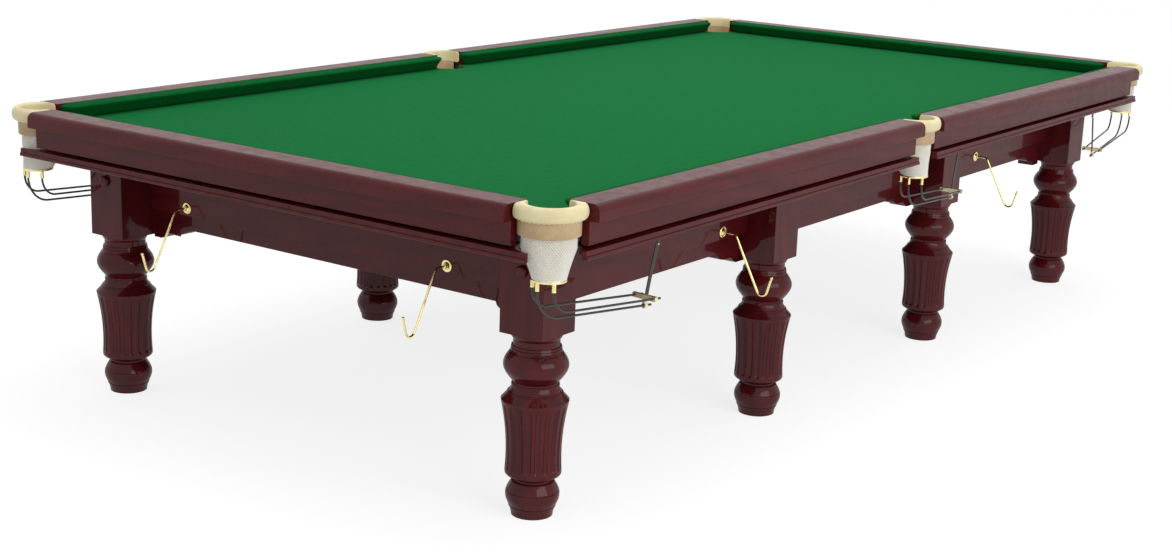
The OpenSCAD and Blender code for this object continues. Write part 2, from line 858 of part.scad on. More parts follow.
module net_near_left() { color(cream) side(-1, -1) at_corner() net(45); }
module net_near_middle() { color(cream) side(1, -1) at_middle() net(90); }
module net_near_right() { color(cream) side(1, -1) at_corner() net(45); }
module net_far_left() { color(cream) side(-1, 1) at_corner() net(45); }
module net_far_middle() { color(cream) at_middle() net(90); }
module net_far_right() { color(cream) at_corner() net(45); }

// Net rings and ball rails
module at_corner_ring() {
    at_corner() rotate([0, 0, 45]) translate([ring_off, 0, 0])
        rotate([0, 0, 135 - corner_lean]) children();
}

module at_middle_ring(y) {
    side(1, y) at_middle() translate([0, ring_off, 0])
        rotate([0, 0, -middle_lean]) children();
}

module at_all_rings() {
    both_x() both_y() at_corner_ring() children();
    for (y = [-1, 1]) at_middle_ring(y) children();
}

module net_ring() {
    difference() {
        union() {
            translate([0, 0, ring_z]) rotate_extrude()
                translate([ring_r, 0]) circle(ring_wire);
            for (a = clip_a) rotate([0, 0, a]) translate([ring_r, 0, ring_z - clip_l])
                cylinder(h = clip_l, r = clip_r);
        }
        for (a = clip_a) rotate([0, 0, a]) translate([ring_r, 0, ring_z - clip_l - 1])
            cylinder(h = clip_l - 5, r = rod_r + fit_gap);
    }
}

module net_rings() { color(brass) at_all_rings() net_ring(); }

// Rod that drops from a clip and bends into the run along +x.
module rod(x0, y0, bend, z0, turn, c) {
    xe = x0 + bend * (1 - sin(rod_slope));
    ze = z0 - xe * tan(rod_slope);
    z1 = ze + bend * cos(rod_slope);
    run = (bracket_x + rod_over - xe) / cos(rod_slope);
    translate([x0, y0, 0]) rotate([0, 0, turn]) translate([-x0, 0, 0]) {
        translate([x0, 0, z1 - joint_l])
            cylinder(h = ring_z - 7 - z1 + joint_l, r = rod_r + c);
        translate([x0 + bend, 0, z1]) rotate([90, 0, 0]) rotate([0, 0, 180])
            rotate_extrude(angle = 90 - rod_slope) translate([bend, 0])
                circle(rod_r + c - joint_r);
        translate([xe, 0, ze]) rotate([0, 90 + rod_slope, 0]) translate([0, 0, -joint_l])
            cylinder(h = run + joint_l, r = rod_r + c);
    }
}

module rods(c) {
    rod(-ring_r, 0, bend_low, rod_z, 0, c);
    for (s = [-1, 1]) rod(rod_x0, s * rod_y0, bend_up, rod_z + rod_rise, -s * toe_in, c);
}

module ball_rails() { color(dark) at_all_rings() rods(0); }

module bracket() {
    difference() {
        union() {
            translate([bracket_x - 5, -rod_half - 8, bar_z - 6])
                cube([10, 2 * rod_half + 16, 12]);
            translate([bracket_x - 5, -4, low_z]) cube([10, 8, rod_rise]);
            translate([bracket_x - 5, 0, low_z]) rotate([0, 90, 0])
                cylinder(h = 10, r = rod_r + 4);
            translate([bracket_x, 0, bar_z]) rotate([0, 90, 0])
                cylinder(h = 5 + strap_t, r = 2);
            translate([bracket_x + 5 + strap_t, 0, bar_z]) rotate([0, 90, 0])
                cylinder(h = 2.5, r = 4);
        }
        rods(fit_gap);
    }
}

module strap_screw(c) {
    translate([strap_x + 13, 0, board_z - strap_t]) cylinder(h = strap_t + 12, r = 2 + c);
    translate([strap_x + 13, 0, board_z - strap_t - 3]) cylinder(h = 3, r = 4.5 + c);
}

module ball_rail_brackets() {
    color(brass) at_all_rings() {
        bracket();
        strap_screw(0);
    }
}

module strap() {
    x0 = bracket_x + 5;
    difference() {
        translate([0, strap_w / 2, 0]) rotate([90, 0, 0]) linear_extrude(strap_w) polygon([
            [x0, bar_z - 8], [x0 + strap_t, bar_z - 8], [x0 + strap_t, bar_z + 9],
            [strap_x + strap_t, board_z - strap_t], [strap_x + 22, board_z - strap_t],
            [strap_x + 22, board_z], [strap_x, board_z], [x0, bar_z + 9]
        ]);
        translate([x0 - 1, 0, bar_z]) rotate([0, 90, 0])
            cylinder(h = strap_t + 2, r = 2 + fit_gap);
        translate([strap_x + 13, 0, board_z - 10]) cylinder(h = 20, r = 2 + fit_gap);
    }
}

module ball_rail_straps() { color(dark) at_all_rings() strap(); }

// Frame
// Lower edge of a beam at distance d from the side of a leg block.
function scallop_z(d) =
    d < 0.1 * scallop_l ? beam_low_z :
    d < 0.42 * scallop_l ? beam_low_z + (scallop_mid_z - 1 - beam_low_z)
        * (1 - cos(180 * (d / scallop_l - 0.1) / 0.32)) / 2 :
    d < 0.66 * scallop_l ? scallop_mid_z - 1 + (d / scallop_l - 0.42) / 0.24 :
    scallop_mid_z + (beam_z - scallop_mid_z)
        * (1 - sqrt(max(0, 1 - pow((d / scallop_l - 0.66) / 0.34, 2))));

scallop_n = 20;

// Points of the scallop beside a leg at x, on its side s.
function scallop(x, s) = [
    for (i = [0:scallop_n]) let (d = scallop_l * (s < 0 ? scallop_n - i : i) / scallop_n)
    [x + s * (half_b + d), scallop_z(d)]
];

module long_beam() {
    x1 = beam_x - end_beam_t;
    difference() {
        translate([0, beam_y, 0]) rotate([90, 0, 0]) linear_extrude(beam_t) polygon(concat(
            [[-x1, slate_z], [-x1, beam_low_z]],
            [for (p = scallop(-leg_x, 1)) if (p[0] > -x1) p],
            scallop(-leg_mid_x, -1), scallop(-leg_mid_x, 1),
            scallop(leg_mid_x, -1), scallop(leg_mid_x, 1),
            [for (p = scallop(leg_x, -1)) if (p[0] < x1) p],
            [[x1, beam_low_z], [x1, slate_z]]
        ));
        both_x() {
            translate([leg_mid_x, leg_y, 0]) leg_bolt_pair(fit_gap);
            for (k = [0.5, 1.5])
                translate([k * slate_l - muntin_w / 2 - end_gap, beam_y - beam_t - 1,
                           slate_z - muntin_h - end_gap])
                    cube([muntin_w + 2 * end_gap, housing_d + 1, muntin_h + 2]);
        }
    }
}

module end_beam() {
    translate([beam_x, 0, 0]) rotate([90, 0, -90]) linear_extrude(end_beam_t) polygon(concat(
        [[-beam_y, slate_z], [-beam_y, beam_low_z]],
        scallop(-leg_y, 1), scallop(leg_y, -1),
        [[beam_y, beam_low_z], [beam_y, slate_z]]
    ));
}

module beam_near() { color(wood) side(1, -1) long_beam(); }
module beam_far() { color(wood) long_beam(); }
module beam_baulk() { color(wood) side(-1, 1) end_beam(); }
module beam_top() { color(wood) end_beam(); }

module aprons_long() {
    color(wood) both_y() difference() {
        union() {
            both_x() translate([leg_mid_x + half_b, beam_y, apron_z])
                cube([beam_x - leg_mid_x - half_b, apron_t, board_z - apron_z]);
            translate([-leg_mid_x + half_b, beam_y, apron_z])
                cube([2 * (leg_mid_x - half_b), apron_t, board_z - apron_z]);
        }
        for (x = hook_xs) at_side_hook(x, 1) hook_hole();
    }
}

module end_apron() {
    y1 = leg_y - half_b;
    difference() {
        union() {
            translate([beam_x, -y1, apron_z]) cube([apron_t, 2 * y1, board_z - apron_z]);
            translate([beam_x + tongue_t / 2, -y1 - tongue_l, leg_bolt_z - tongue_h / 2])
                cube([tongue_t, 2 * (y1 + tongue_l), tongue_h]);
        }
        both_y() translate([beam_x - 1, leg_y, leg_bolt_z]) rotate([0, 90, 0])
            cylinder(h = apron_t + 2, r = bolt_r + fit_gap);
    }
}

module aprons_end() {
    color(wood) {
        end_apron();
        difference() {
            mirror([1, 0, 0]) end_apron();
            at_baulk_hook(hook_far_y) hook_hole();
            at_baulk_hook(-hook_near_y) hook_hole();
        }
    }
}

module muntins() {
    color(wood) both_x() for (k = [0.5, 1.5])
        translate([k * slate_l - muntin_w / 2, -(beam_y - beam_t + housing_d - end_gap),
                   slate_z - muntin_h])
            cube([muntin_w, 2 * (beam_y - beam_t + housing_d - end_gap), muntin_h]);
}

// Moulding
moulding_section = [
    [0, board_z], [moulding_out, board_z], [moulding_out, board_z + moulding_lip],
    [moulding_out - moulding_step, board_z + moulding_lip + 1],
    [moulding_out - moulding_step, packing_z], [packing_out, packing_z],
    [packing_out, slate_z], [0, slate_z]
];

module mouldings() {
    inner_l = hw - beam_y;
    inner_e = hl - beam_x;
    mitre = hl - hw;
    color(wood) difference() {
        union() {
            both_x() both_y() intersection() {
                union() {
                    along_x(moulding_mid_gap, mould_x1) polygon(moulding_section);
                    translate([0, beam_y, board_z]) cube([mould_x1, inner_l + eps, slate_z - board_z]);
                }
                translate([0, 0, board_z - 1]) linear_extrude(100) polygon([
                    [moulding_mid_gap, beam_y], [beam_y + mitre, beam_y], [mould_x1, mould_x1 - mitre],
                    [mould_x1, hw + 200], [moulding_mid_gap, hw + 200]
                ]);
            }
            both_x() intersection() {
                union() {
                    along_y(-mould_y1, mould_y1) polygon(moulding_section);
                    translate([beam_x, -mould_y1, board_z])
                        cube([inner_e + eps, 2 * mould_y1, slate_z - board_z]);
                }
                translate([end_gap, 0, board_z - 1]) linear_extrude(100) polygon([
                    [beam_x - end_gap, mitre - beam_x], [mould_y1 + mitre, -mould_y1],
                    [hl + 200, -mould_y1], [hl + 200, mould_y1],
                    [mould_y1 + mitre, mould_y1], [beam_x - end_gap, beam_x - mitre]
                ]);
            }
        }
        both_y() {
            both_x() at_corner() translate([0, 0, board_z - 1]) cylinder(h = 100, r = moulding_cut_r);
            at_middle() translate([0, 0, board_z - 1]) cylinder(h = 100, r = moulding_cut_r);
        }
        at_all_rings() strap_screw(fit_gap);
    }
}

// Fastenings
module leg_bolts() {
    color(steel) both_y() both_x() {
        translate([leg_x + half_b - head_h - 5, leg_y, leg_bolt_z]) rotate([0, -90, 0])
            cylinder(h = block_w - head_h - 8, r = bolt_r);
        translate([leg_x + half_b - head_h - 5, leg_y, leg_bolt_z]) rotate([0, 90, 0])
            cylinder(h = head_h, r = head_r);
        translate([leg_mid_x, leg_y, 0]) leg_bolt_pair(0);
    }
}

module bolt_covers() {
    color(wood) both_y() both_x() translate([leg_x + half_b, leg_y, leg_bolt_z])
        rotate([0, 90, 0]) {
            rotate_extrude() polygon([
                [0, 0], [cover_r - 3, 0], [cover_r - 4, 2.5], [cover_r, 5],
                [cover_r - 0.5, cover_h - 3.5], [cover_r - 3.5, cover_h - 1],
                [cover_r - 7, cover_h], [0, cover_h]
            ]);
            translate([0, 0, -3]) cylinder(h = 3 + eps, r = head_r + 1 - fit_gap);
        }
}

module rail_bolt() {
    translate([0, 0, slate_z - head_h]) cylinder(h = head_h, r = head_r);
    translate([0, 0, slate_z - eps]) cylinder(h = rail_z - 16 - slate_z, r = bolt_r);
}

module rail_bolts() {
    color(steel) {
        both_x() both_y() for (x = long_bolts) translate([x, hw + rail_bolt_t, 0]) rail_bolt();
        both_x() for (y = end_bolts) translate([hl + rail_bolt_t, y, 0]) rail_bolt();
    }
}

leg_near_1();
leg_near_2();
leg_near_3();
leg_near_4();
leg_far_1();
leg_far_2();
leg_far_3();
leg_far_4();
foot_near_1();
foot_near_2();
foot_near_3();
foot_near_4();
foot_far_1();
foot_far_2();
foot_far_3();
foot_far_4();
hook_baulk_left();
hook_baulk_right();
hook_near_left();
hook_near_right();
hook_far_left();
hook_far_right();
hook_plates();
slates_end();
slates_inner();
slate_middle();
bed_cloth();
rail_baulk();
rail_top();
rail_near_left();
rail_near_right();
rail_far_left();
rail_far_right();
cushions_long();
cushions_end();
cushion_rubbers();
pocket_pads();
pocket_bands();
net_near_left();
net_near_middle();
net_near_right();
net_far_left();
net_far_middle();
net_far_right();
pocket_irons();
net_rings();
ball_rails();
ball_rail_brackets();
ball_rail_straps();
beam_near();
beam_far();
beam_baulk();
beam_top();
aprons_long();
aprons_end();
muntins();
mouldings();
leg_bolts();
bolt_covers();
rail_bolts();
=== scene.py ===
"""Looks of a full-size snooker table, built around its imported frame.

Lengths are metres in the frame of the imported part: +X runs along the table to the top end, +Y across it
to the far long side and +Z up, with the origin on the floor under the middle of the table.
Section sizes are taken outward from the nose line of the cushions.
"""

import logging
import math
from dataclasses import dataclass, field
from enum import Enum
from functools import cache
from typing import Any, Sequence

import bmesh
import bpy
import numpy as np
from mathutils import Matrix

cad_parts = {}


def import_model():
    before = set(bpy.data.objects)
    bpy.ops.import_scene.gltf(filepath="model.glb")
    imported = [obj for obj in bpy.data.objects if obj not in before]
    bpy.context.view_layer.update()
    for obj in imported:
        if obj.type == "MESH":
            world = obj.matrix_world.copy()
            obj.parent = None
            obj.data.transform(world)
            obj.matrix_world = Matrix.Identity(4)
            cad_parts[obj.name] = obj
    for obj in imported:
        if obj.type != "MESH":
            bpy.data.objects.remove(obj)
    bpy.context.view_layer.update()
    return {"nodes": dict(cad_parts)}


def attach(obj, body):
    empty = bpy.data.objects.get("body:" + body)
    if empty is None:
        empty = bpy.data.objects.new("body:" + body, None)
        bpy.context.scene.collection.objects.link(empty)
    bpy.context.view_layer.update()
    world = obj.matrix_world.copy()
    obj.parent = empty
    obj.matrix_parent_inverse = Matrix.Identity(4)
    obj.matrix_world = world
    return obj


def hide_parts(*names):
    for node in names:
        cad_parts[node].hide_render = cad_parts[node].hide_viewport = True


Array = np.ndarray
Socket = bpy.types.NodeSocket
log = logging.getLogger("snooker_table")
TAU = 2.0 * math.pi


# Mesh tools


def col(*values: float) -> Array:
    """A list of numbers as an array of floats."""
    return np.array(values, float)


def quads(rows: int, cols: int, wrap_rows: bool, wrap_cols: bool) -> Array:
    """Faces of a grid of points.

    Args:
        rows: Number of rows of points.
        cols: Number of points in a row.
        wrap_rows: Joins the last row to the first.
        wrap_cols: Joins the last point of each row to its first.

    Returns:
        One row of four point numbers for each face.
    """
    r = np.arange(rows if wrap_rows else rows - 1)
    c = np.arange(cols if wrap_cols else cols - 1)
    r0, c0 = (a.ravel() for a in np.meshgrid(r, c, indexing="ij"))
    r1, c1 = (r0 + 1) % rows, (c0 + 1) % cols
    return np.stack([r0 * cols + c0, r0 * cols + c1, r1 * cols + c1, r1 * cols + c0], 1)


@dataclass
class Skin:
    """Points and faces gathered for one mesh."""

    points: list[Array] = field(default_factory=list)
    faces: list[Array] = field(default_factory=list)
    count: int = 0

    def add(self, points: Array, faces: Array) -> None:
        """Adds points, and faces that count from the first of them."""
        self.points.append(points.reshape(-1, 3))
        self.faces.append(faces + self.count)
        self.count += len(self.points[-1])

    def grid(self, grid: Array, wrap_rows: bool = False, wrap_cols: bool = True, capped: bool = True) -> None:
        """Adds a grid of points of the shape (rows, cols, 3), with its open ends closed by one face each."""
        rows, cols = grid.shape[:2]
        self.add(grid, quads(rows, cols, wrap_rows, wrap_cols))
        if capped and wrap_cols and not wrap_rows:
            for ring in (grid[0], grid[-1]):
                self.add(ring, np.arange(cols)[None, :])

    def placed(self, matrix: Array, shift: Array) -> "Skin":
        """A copy turned by a 3 by 3 matrix and then moved."""
        return Skin([p @ matrix.T + shift for p in self.points], [f.copy() for f in self.faces], self.count)

    def join(self, other: "Skin") -> None:
        """Takes in the points and faces of another skin."""
        self.faces += [f + self.count for f in other.faces]
        self.points += other.points
        self.count += other.count

    def mesh(self, name: str, bevel: float, sharp: float) -> bpy.types.Mesh:
        """Builds the mesh: doubles merged, edges eased, faces outward, smooth up to an angle.

        Args:
            name: Name of the mesh.
            bevel: Width of the eased edges, or 0.
            sharp: Angle in degrees from which an edge stays sharp.

        Returns:
            The finished mesh.
        """
        mesh = bpy.data.meshes.new(name)
        sizes = np.concatenate([np.full(len(f), f.shape[1]) for f in self.faces])
        corners = np.concatenate([f.ravel() for f in self.faces])
        points = np.concatenate(self.points).astype(np.float32)
        mesh.vertices.add(len(points))
        mesh.vertices.foreach_set("co", points.ravel())
        mesh.loops.add(len(corners))
        mesh.loops.foreach_set("vertex_index", corners.astype(np.int32))
        mesh.polygons.add(len(sizes))
        starts = np.concatenate([[0], np.cumsum(sizes)[:-1]])
        mesh.polygons.foreach_set("loop_start", starts.astype(np.int32))
        mesh.update(calc_edges=True)
        work = bmesh.new()
        work.from_mesh(mesh)
        bmesh.ops.remove_doubles(work, verts=work.verts, dist=2e-6)
        bmesh.ops.dissolve_degenerate(work, edges=work.edges, dist=1e-6)
        bmesh.ops.recalc_face_normals(work, faces=work.faces)
        if bevel:
            edges = [e for e in work.edges if len(e.link_faces) == 2 and e.calc_face_angle() > 0.7]
            bmesh.ops.bevel(
                work, geom=edges, offset=bevel, segments=2, profile=0.5, affect="EDGES", clamp_overlap=True
            )
        work.to_mesh(mesh)
        work.free()
        mesh.shade_smooth()
        mesh.set_sharp_from_angle(angle=math.radians(sharp))
        return mesh


def frames_along(path: Array, up: Array) -> tuple[Array, Array]:
    """Two directions square to a path at each of its points.

    The second is square to the path's tangent and to the given direction, and the first to both.

    Args:
        path: Points of the path.
        up: A direction that the path never takes.

    Returns:
        The two directions, one row each for every point.
    """
    tangent = np.gradient(path, axis=0)
    tangent /= np.linalg.norm(tangent, axis=1, keepdims=True)
    side = np.cross(tangent, up)
    side /= np.linalg.norm(side, axis=1, keepdims=True)
    return np.cross(side, tangent), side


def swept(path: Array, section: Array, up: Array) -> Array:
    """Carries a closed section along a path.

    Args:
        path: Points of the path.
        section: Section points as (first, second) pairs.
        up: A direction that the path never takes.

    Returns:
        Grid of the points path + first * a + second * b, with a and b square to the path.
    """
    first, second = frames_along(path, up)
    return (
        path[:, None, :]
        + section[None, :, 0:1] * first[:, None, :]
        + section[None, :, 1:2] * second[:, None, :]
    )


def swollen(path: Array, section: Array, size: Array) -> Array:
    """A section carried along a path that stays off the upright, at its own size for each point."""
    middle = path[:, None, :]
    return middle + (swept(path, section, col(0, 0, 1)) - middle) * size[:, None, None]


def on_arc(radius: float, angle: Array) -> Array:
    """Points at given angles round the origin: radius * (cos, sin)."""
    return radius * np.stack([np.cos(angle), np.sin(angle)], 1)


def circle(radius: float, sides: int) -> Array:
    """Points of a circle round the origin."""
    return on_arc(radius, np.arange(sides) * TAU / sides)


def wire(path: Array, radius: float, up: Array, sides: int = 14) -> Skin:
    """A round wire along a path, with its ends a little rounded over.

    The radius is full along the path and shrinks to 0.6 of it over the last point at both ends.
    """
    grid = swept(path, circle(radius, sides), up)
    ends = []
    for row, step in ((0, path[0] - path[1]), (-1, path[-1] - path[-2])):
        out = step / np.linalg.norm(step)
        ends.append(path[row] + 0.6 * (grid[row] - path[row]) + 0.5 * radius * out)
    skin = Skin()
    skin.grid(np.concatenate([ends[0][None], grid, ends[1][None]]))
    return skin


def turned(profile: Array, sides: int, ring: bool = False) -> Skin:
    """A profile of (radius, height) pairs turned round the Z axis.

    Args:
        profile: The pairs; without a ring the first and the last radius are 0.
        sides: Number of points round the axis.
        ring: Joins the profile's end to its start.

    Returns:
        The turned skin.
    """
    a = np.arange(sides) * TAU / sides
    r, z = profile[:, 0:1], profile[:, 1:2]
    skin = Skin()
    grid = np.stack([r * np.cos(a), r * np.sin(a), np.broadcast_to(z, (len(profile), sides))], 2)
    skin.grid(grid, wrap_rows=ring, capped=False)
    return skin


def eased(points: Sequence[Sequence[float]], steps: int = 4) -> Array:
    """A closed outline with rounded corners.

    Each corner of the radius r is replaced by the arc that leaves both sides r * tan(turn / 2) from it.

    Args:
        points: Corners as (x, y, radius).
        steps: Number of pieces of each arc.

    Returns:
        Points of the outline.
    """
    p = np.array(points, float)
    made = []
    for i in range(len(p)):
        here, radius = p[i, :2], p[i, 2]
        back, ahead = p[i - 1, :2] - here, p[(i + 1) % len(p), :2] - here
        back, ahead = back / np.linalg.norm(back), ahead / np.linalg.norm(ahead)
        half = 0.5 * math.acos(max(-1.0, min(1.0, float(back @ ahead))))
        if radius <= 0 or abs(math.sin(half) - 1) < 1e-6:
            made.append(here[None])
            continue
        middle = here + (back + ahead) / np.linalg.norm(back + ahead) * radius / math.sin(half)
        a = here + back * radius / math.tan(half) - middle
        b = here + ahead * radius / math.tan(half) - middle
        turn = math.pi - 2 * half
        t = np.linspace(0, 1, steps + 1)[:, None]
        made.append(middle + (np.sin((1 - t) * turn) * a + np.sin(t * turn) * b) / math.sin(turn))
    return np.concatenate(made)


def smooth_through(points: Sequence[Sequence[float]], steps: int) -> Array:
    """A smooth curve through given points, by cubic pieces whose slopes come from the neighbours."""
    p = np.array(points, float)
    q = np.concatenate([[2 * p[0] - p[1]], p, [2 * p[-1] - p[-2]]])
    t = np.linspace(0, 1, steps, endpoint=False)[:, None]
    pieces = [
        0.5
        * (
            2 * q[i]
            + (q[i + 1] - q[i - 1]) * t
            + (2 * q[i - 1] - 5 * q[i] + 4 * q[i + 1] - q[i + 2]) * t**2
            + (3 * q[i] - q[i - 1] - 3 * q[i + 1] + q[i + 2]) * t**3
        )
        for i in range(1, len(q) - 2)
    ]
    return np.concatenate(pieces + [p[-1:]])


def prism(loops: Sequence[tuple[Array, float]]) -> Skin:
    """A solid through flat outlines with the same number of points, each at its own height."""
    grid = np.stack([np.column_stack([o, np.full(len(o), z)]) for o, z in loops])
    skin = Skin()
    skin.grid(grid)
    return skin


def board(low: Sequence[float], high: Sequence[float]) -> Skin:
    """A straight board between two opposite corners."""
    (x0, y0, z0), (x1, y1, z1) = low, high
    outline = np.array([[x0, y0], [x1, y0], [x1, y1], [x0, y1]], float)
    return prism([(outline, z0), (outline, z1)])


# Turns of a shape drawn along Z or in the X-Y plane
Z_TO_X = np.array([[0.0, 0.0, 1.0], [0.0, 1.0, 0.0], [-1.0, 0.0, 0.0]])
X_UP_BY_Y = np.array([[1.0, 0.0, 0.0], [0.0, 0.0, 1.0], [0.0, 1.0, 0.0]])
Y_UP_BY_X = np.array([[0.0, 0.0, 1.0], [1.0, 0.0, 0.0], [0.0, 1.0, 0.0]])
Y_TO_X = np.array([[0.0, 1.0, 0.0], [-1.0, 0.0, 0.0], [0.0, 0.0, 1.0]])
NO_SHIFT = np.zeros(3)


def quadrant(x: int, y: int) -> Array:
    """The matrix that puts a shape of the positive quadrant on the side with these signs."""
    return np.diag([float(x), float(y), 1.0])


def mirrored(skin: Skin, ways_x: Sequence[int] = (-1, 1), ways_y: Sequence[int] = (-1, 1)) -> Skin:
    """A shape of the positive quadrant, joined with its copies on the sides with these signs."""
    made = Skin()
    for x in ways_x:
        for y in ways_y:
            made.join(skin.placed(quadrant(x, y), NO_SHIFT))
    return made


def turn_z(degrees: float) -> Array:
    """The matrix of a turn about the Z axis."""
    c, s = math.cos(math.radians(degrees)), math.sin(math.radians(degrees))
    return np.array([[c, -s, 0.0], [s, c, 0.0], [0.0, 0.0, 1.0]])


# Shader tools


class Graph:
    """Adds nodes to a shader tree and joins them."""

    def __init__(self, tree: bpy.types.NodeTree) -> None:
        """Starts on an empty tree."""
        self.tree = tree

    def node(self, kind: str, inputs: dict[Any, Any] | None = None, **settings: Any) -> bpy.types.Node:
        """Makes a node.

        Args:
            kind: The node's type.
            inputs: Socket name or number to a value, or to the socket that feeds it.
            settings: The node's own settings.

        Returns:
            The node.
        """
        made = self.tree.nodes.new(kind)
        for name, value in settings.items():
            setattr(made, name, value)
        self.feed(made, inputs or {})
        return made

    def feed(self, node: bpy.types.Node, inputs: dict[Any, Any]) -> None:
        """Sets inputs of a node, by name or number: a socket is joined, and a value is written."""
        for name, value in inputs.items():
            if isinstance(value, Socket):
                self.tree.links.new(value, node.inputs[name])
            else:
                node.inputs[name].default_value = value

    def noise(self, vector: Any, scale: Any, detail: float = 3.0, rough: float = 0.5) -> Socket:
        """Noise between 0 and 1."""
        inputs = {"Vector": vector, "Scale": scale, "Detail": detail, "Roughness": rough}
        return self.node("ShaderNodeTexNoise", inputs).outputs[0]

    def math(self, kind: str, a: Any, b: Any = 0.0) -> Socket:
        """One step of arithmetic, kept between 0 and 1 where the kind's name ends in a plus sign."""
        clamp = kind.endswith("+")
        node = self.node("ShaderNodeMath", {0: a, 1: b}, operation=kind.rstrip("+"), use_clamp=clamp)
        return node.outputs[0]

    def spread(self, value: Any, low: float, high: float, to_low: float, to_high: float) -> Socket:
        """A value carried from one range to another, and kept inside it."""
        inputs = {"Value": value, "From Min": low, "From Max": high, "To Min": to_low, "To Max": to_high}
        return self.node("ShaderNodeMapRange", inputs).outputs[0]

    def mix(self, share: Any, first: Any, second: Any) -> Socket:
        """A colour between two colours."""
        node = self.node("ShaderNodeMix", {0: share, 6: first, 7: second}, data_type="RGBA")
        return node.outputs[2]

    def mapped(self, vector: Any, scale: Sequence[float]) -> Socket:
        """Coordinates stretched along the axes."""
        return self.node("ShaderNodeMapping", {"Vector": vector, "Scale": tuple(scale)}).outputs[0]

    def group(self, tree: bpy.types.NodeTree, inputs: dict[str, Any]) -> bpy.types.Node:
        """Places a node group."""
        return self.node("ShaderNodeGroup", inputs, node_tree=tree)


def rgba(colour: Sequence[float]) -> tuple[float, float, float, float]:
    """A colour with full alpha."""
    return (colour[0], colour[1], colour[2], 1.0)


def new_group(
    name: str, inputs: Sequence[tuple[str, str, Any]], outputs: Sequence[tuple[str, str]]
) -> tuple[bpy.types.NodeTree, Graph, bpy.types.Node, bpy.types.Node]:
    """Makes an empty node group with named sockets.

    Args:
        name: Name of the group.
        inputs: Name, socket type and value of each input.
        outputs: Name and socket type of each output.

    Returns:
        The group, its graph, its input node and its output node.
    """
    tree = bpy.data.node_groups.new(name, "ShaderNodeTree")
    for label, kind, value in inputs:
        socket = tree.interface.new_socket(name=label, in_out="INPUT", socket_type=kind)
        if value is not None:
            socket.default_value = value
    for label, kind in outputs:
        tree.interface.new_socket(name=label, in_out="OUTPUT", socket_type=kind)
    graph = Graph(tree)
    return tree, graph, graph.node("NodeGroupInput"), graph.node("NodeGroupOutput")


@cache
def timber_figure() -> bpy.types.NodeTree:
    """Figure of sawn mahogany: broad bands bent by noise, and short dark pores along the grain."""
    tree, g, given, out = new_group(
        "timber_figure",
        [("Vector", "NodeSocketVector", None), ("Bands", "NodeSocketFloat", 14.0)],
        [("Figure", "NodeSocketFloat"), ("Pores", "NodeSocketFloat")],
    )
    bend = g.noise(given.outputs["Vector"], 3.0, 3.0)
    along = g.node(
        "ShaderNodeTexWave",
        {"Vector": given.outputs["Vector"], "Scale": given.outputs["Bands"], "Distortion": 7.0,
         "Detail": 3.0, "Detail Scale": 1.4},
        bands_direction="DIAGONAL",
    )
    figure = g.math("MULTIPLY", along.outputs["Fac"], 0.55)
    figure = g.math("ADD+", figure, g.math("MULTIPLY", bend, 0.55))
    fine = g.noise(g.mapped(given.outputs["Vector"], (9.0, 9.0, 9.0)), 60.0, 2.0)
    pores = g.spread(fine, 0.30, 0.46, 0.0, 1.0)
    g.feed(out, {"Figure": figure, "Pores": pores})
    return tree


@cache
def uneven_tone() -> bpy.types.NodeTree:
    """Uneven tone: a slow cloud and a fine one, weighed 2 to 1."""
    tree, g, given, out = new_group(
        "mottle",
        [("Vector", "NodeSocketVector", None), ("Size", "NodeSocketFloat", 10.0)],
        [("Tone", "NodeSocketFloat")],
    )
    slow = g.noise(given.outputs["Vector"], given.outputs["Size"], 2.0)
    fine = g.noise(given.outputs["Vector"], g.math("MULTIPLY", given.outputs["Size"], 9.0), 2.0)
    tone = g.math("ADD", g.math("MULTIPLY", slow, 0.67), g.math("MULTIPLY", fine, 0.33))
    g.feed(out, {"Tone": g.spread(tone, 0.35, 0.65, 0.0, 1.0)})
    return tree


@cache
def rounded_cells() -> bpy.types.NodeTree:
    """Small rounded cells, as on leather and cast metal: the height falls off from each cell's middle."""
    tree, g, given, out = new_group(
        "pebble",
        [("Vector", "NodeSocketVector", None), ("Cells", "NodeSocketFloat", 600.0)],
        [("Height", "NodeSocketFloat")],
    )
    inputs = {"Vector": given.outputs["Vector"], "Scale": given.outputs["Cells"]}
    cell = g.node("ShaderNodeTexVoronoi", inputs)
    g.feed(out, {"Height": g.spread(cell.outputs["Distance"], 0.1, 0.8, 1.0, 0.0)})
    return tree


class Grain(Enum):
    """The axis along which a board's grain runs, as the stretch of its pattern."""

    ALONG_X = (0.16, 1.0, 1.0)
    ALONG_Y = (1.0, 0.16, 1.0)
    ALONG_Z = (1.0, 1.0, 0.16)


@dataclass(frozen=True)
class Finish:
    """What every finish has: a name and the material that is made from it once."""

    name: str

    def material(self) -> bpy.types.Material:
        """The finished material, made at its first use."""
        found = bpy.data.materials.get(self.name)
        if found:
            return found
        made = bpy.data.materials.new(self.name)
        made.use_nodes = True
        made.node_tree.nodes.clear()
        graph = Graph(made.node_tree)
        shader = graph.node("ShaderNodeBsdfPrincipled")
        graph.node("ShaderNodeOutputMaterial", {"Surface": shader.outputs[0]})
        place = graph.node("ShaderNodeTexCoord").outputs["Object"]
        self.dress(graph, shader, place)
        return made

    def dress(self, g: Graph, shader: bpy.types.Node, place: Socket) -> None:
        """Joins the finish's own nodes to the shader."""
        raise NotImplementedError

    def bump(self, g: Graph, shader: bpy.types.Node, height: Socket, strength: float, reach: float) -> None:
        """Feeds a height to the shader's normal."""
        node = g.node("ShaderNodeBump", {"Height": height, "Strength": strength, "Distance": reach})
        g.feed(shader, {"Normal": node.outputs[0]})


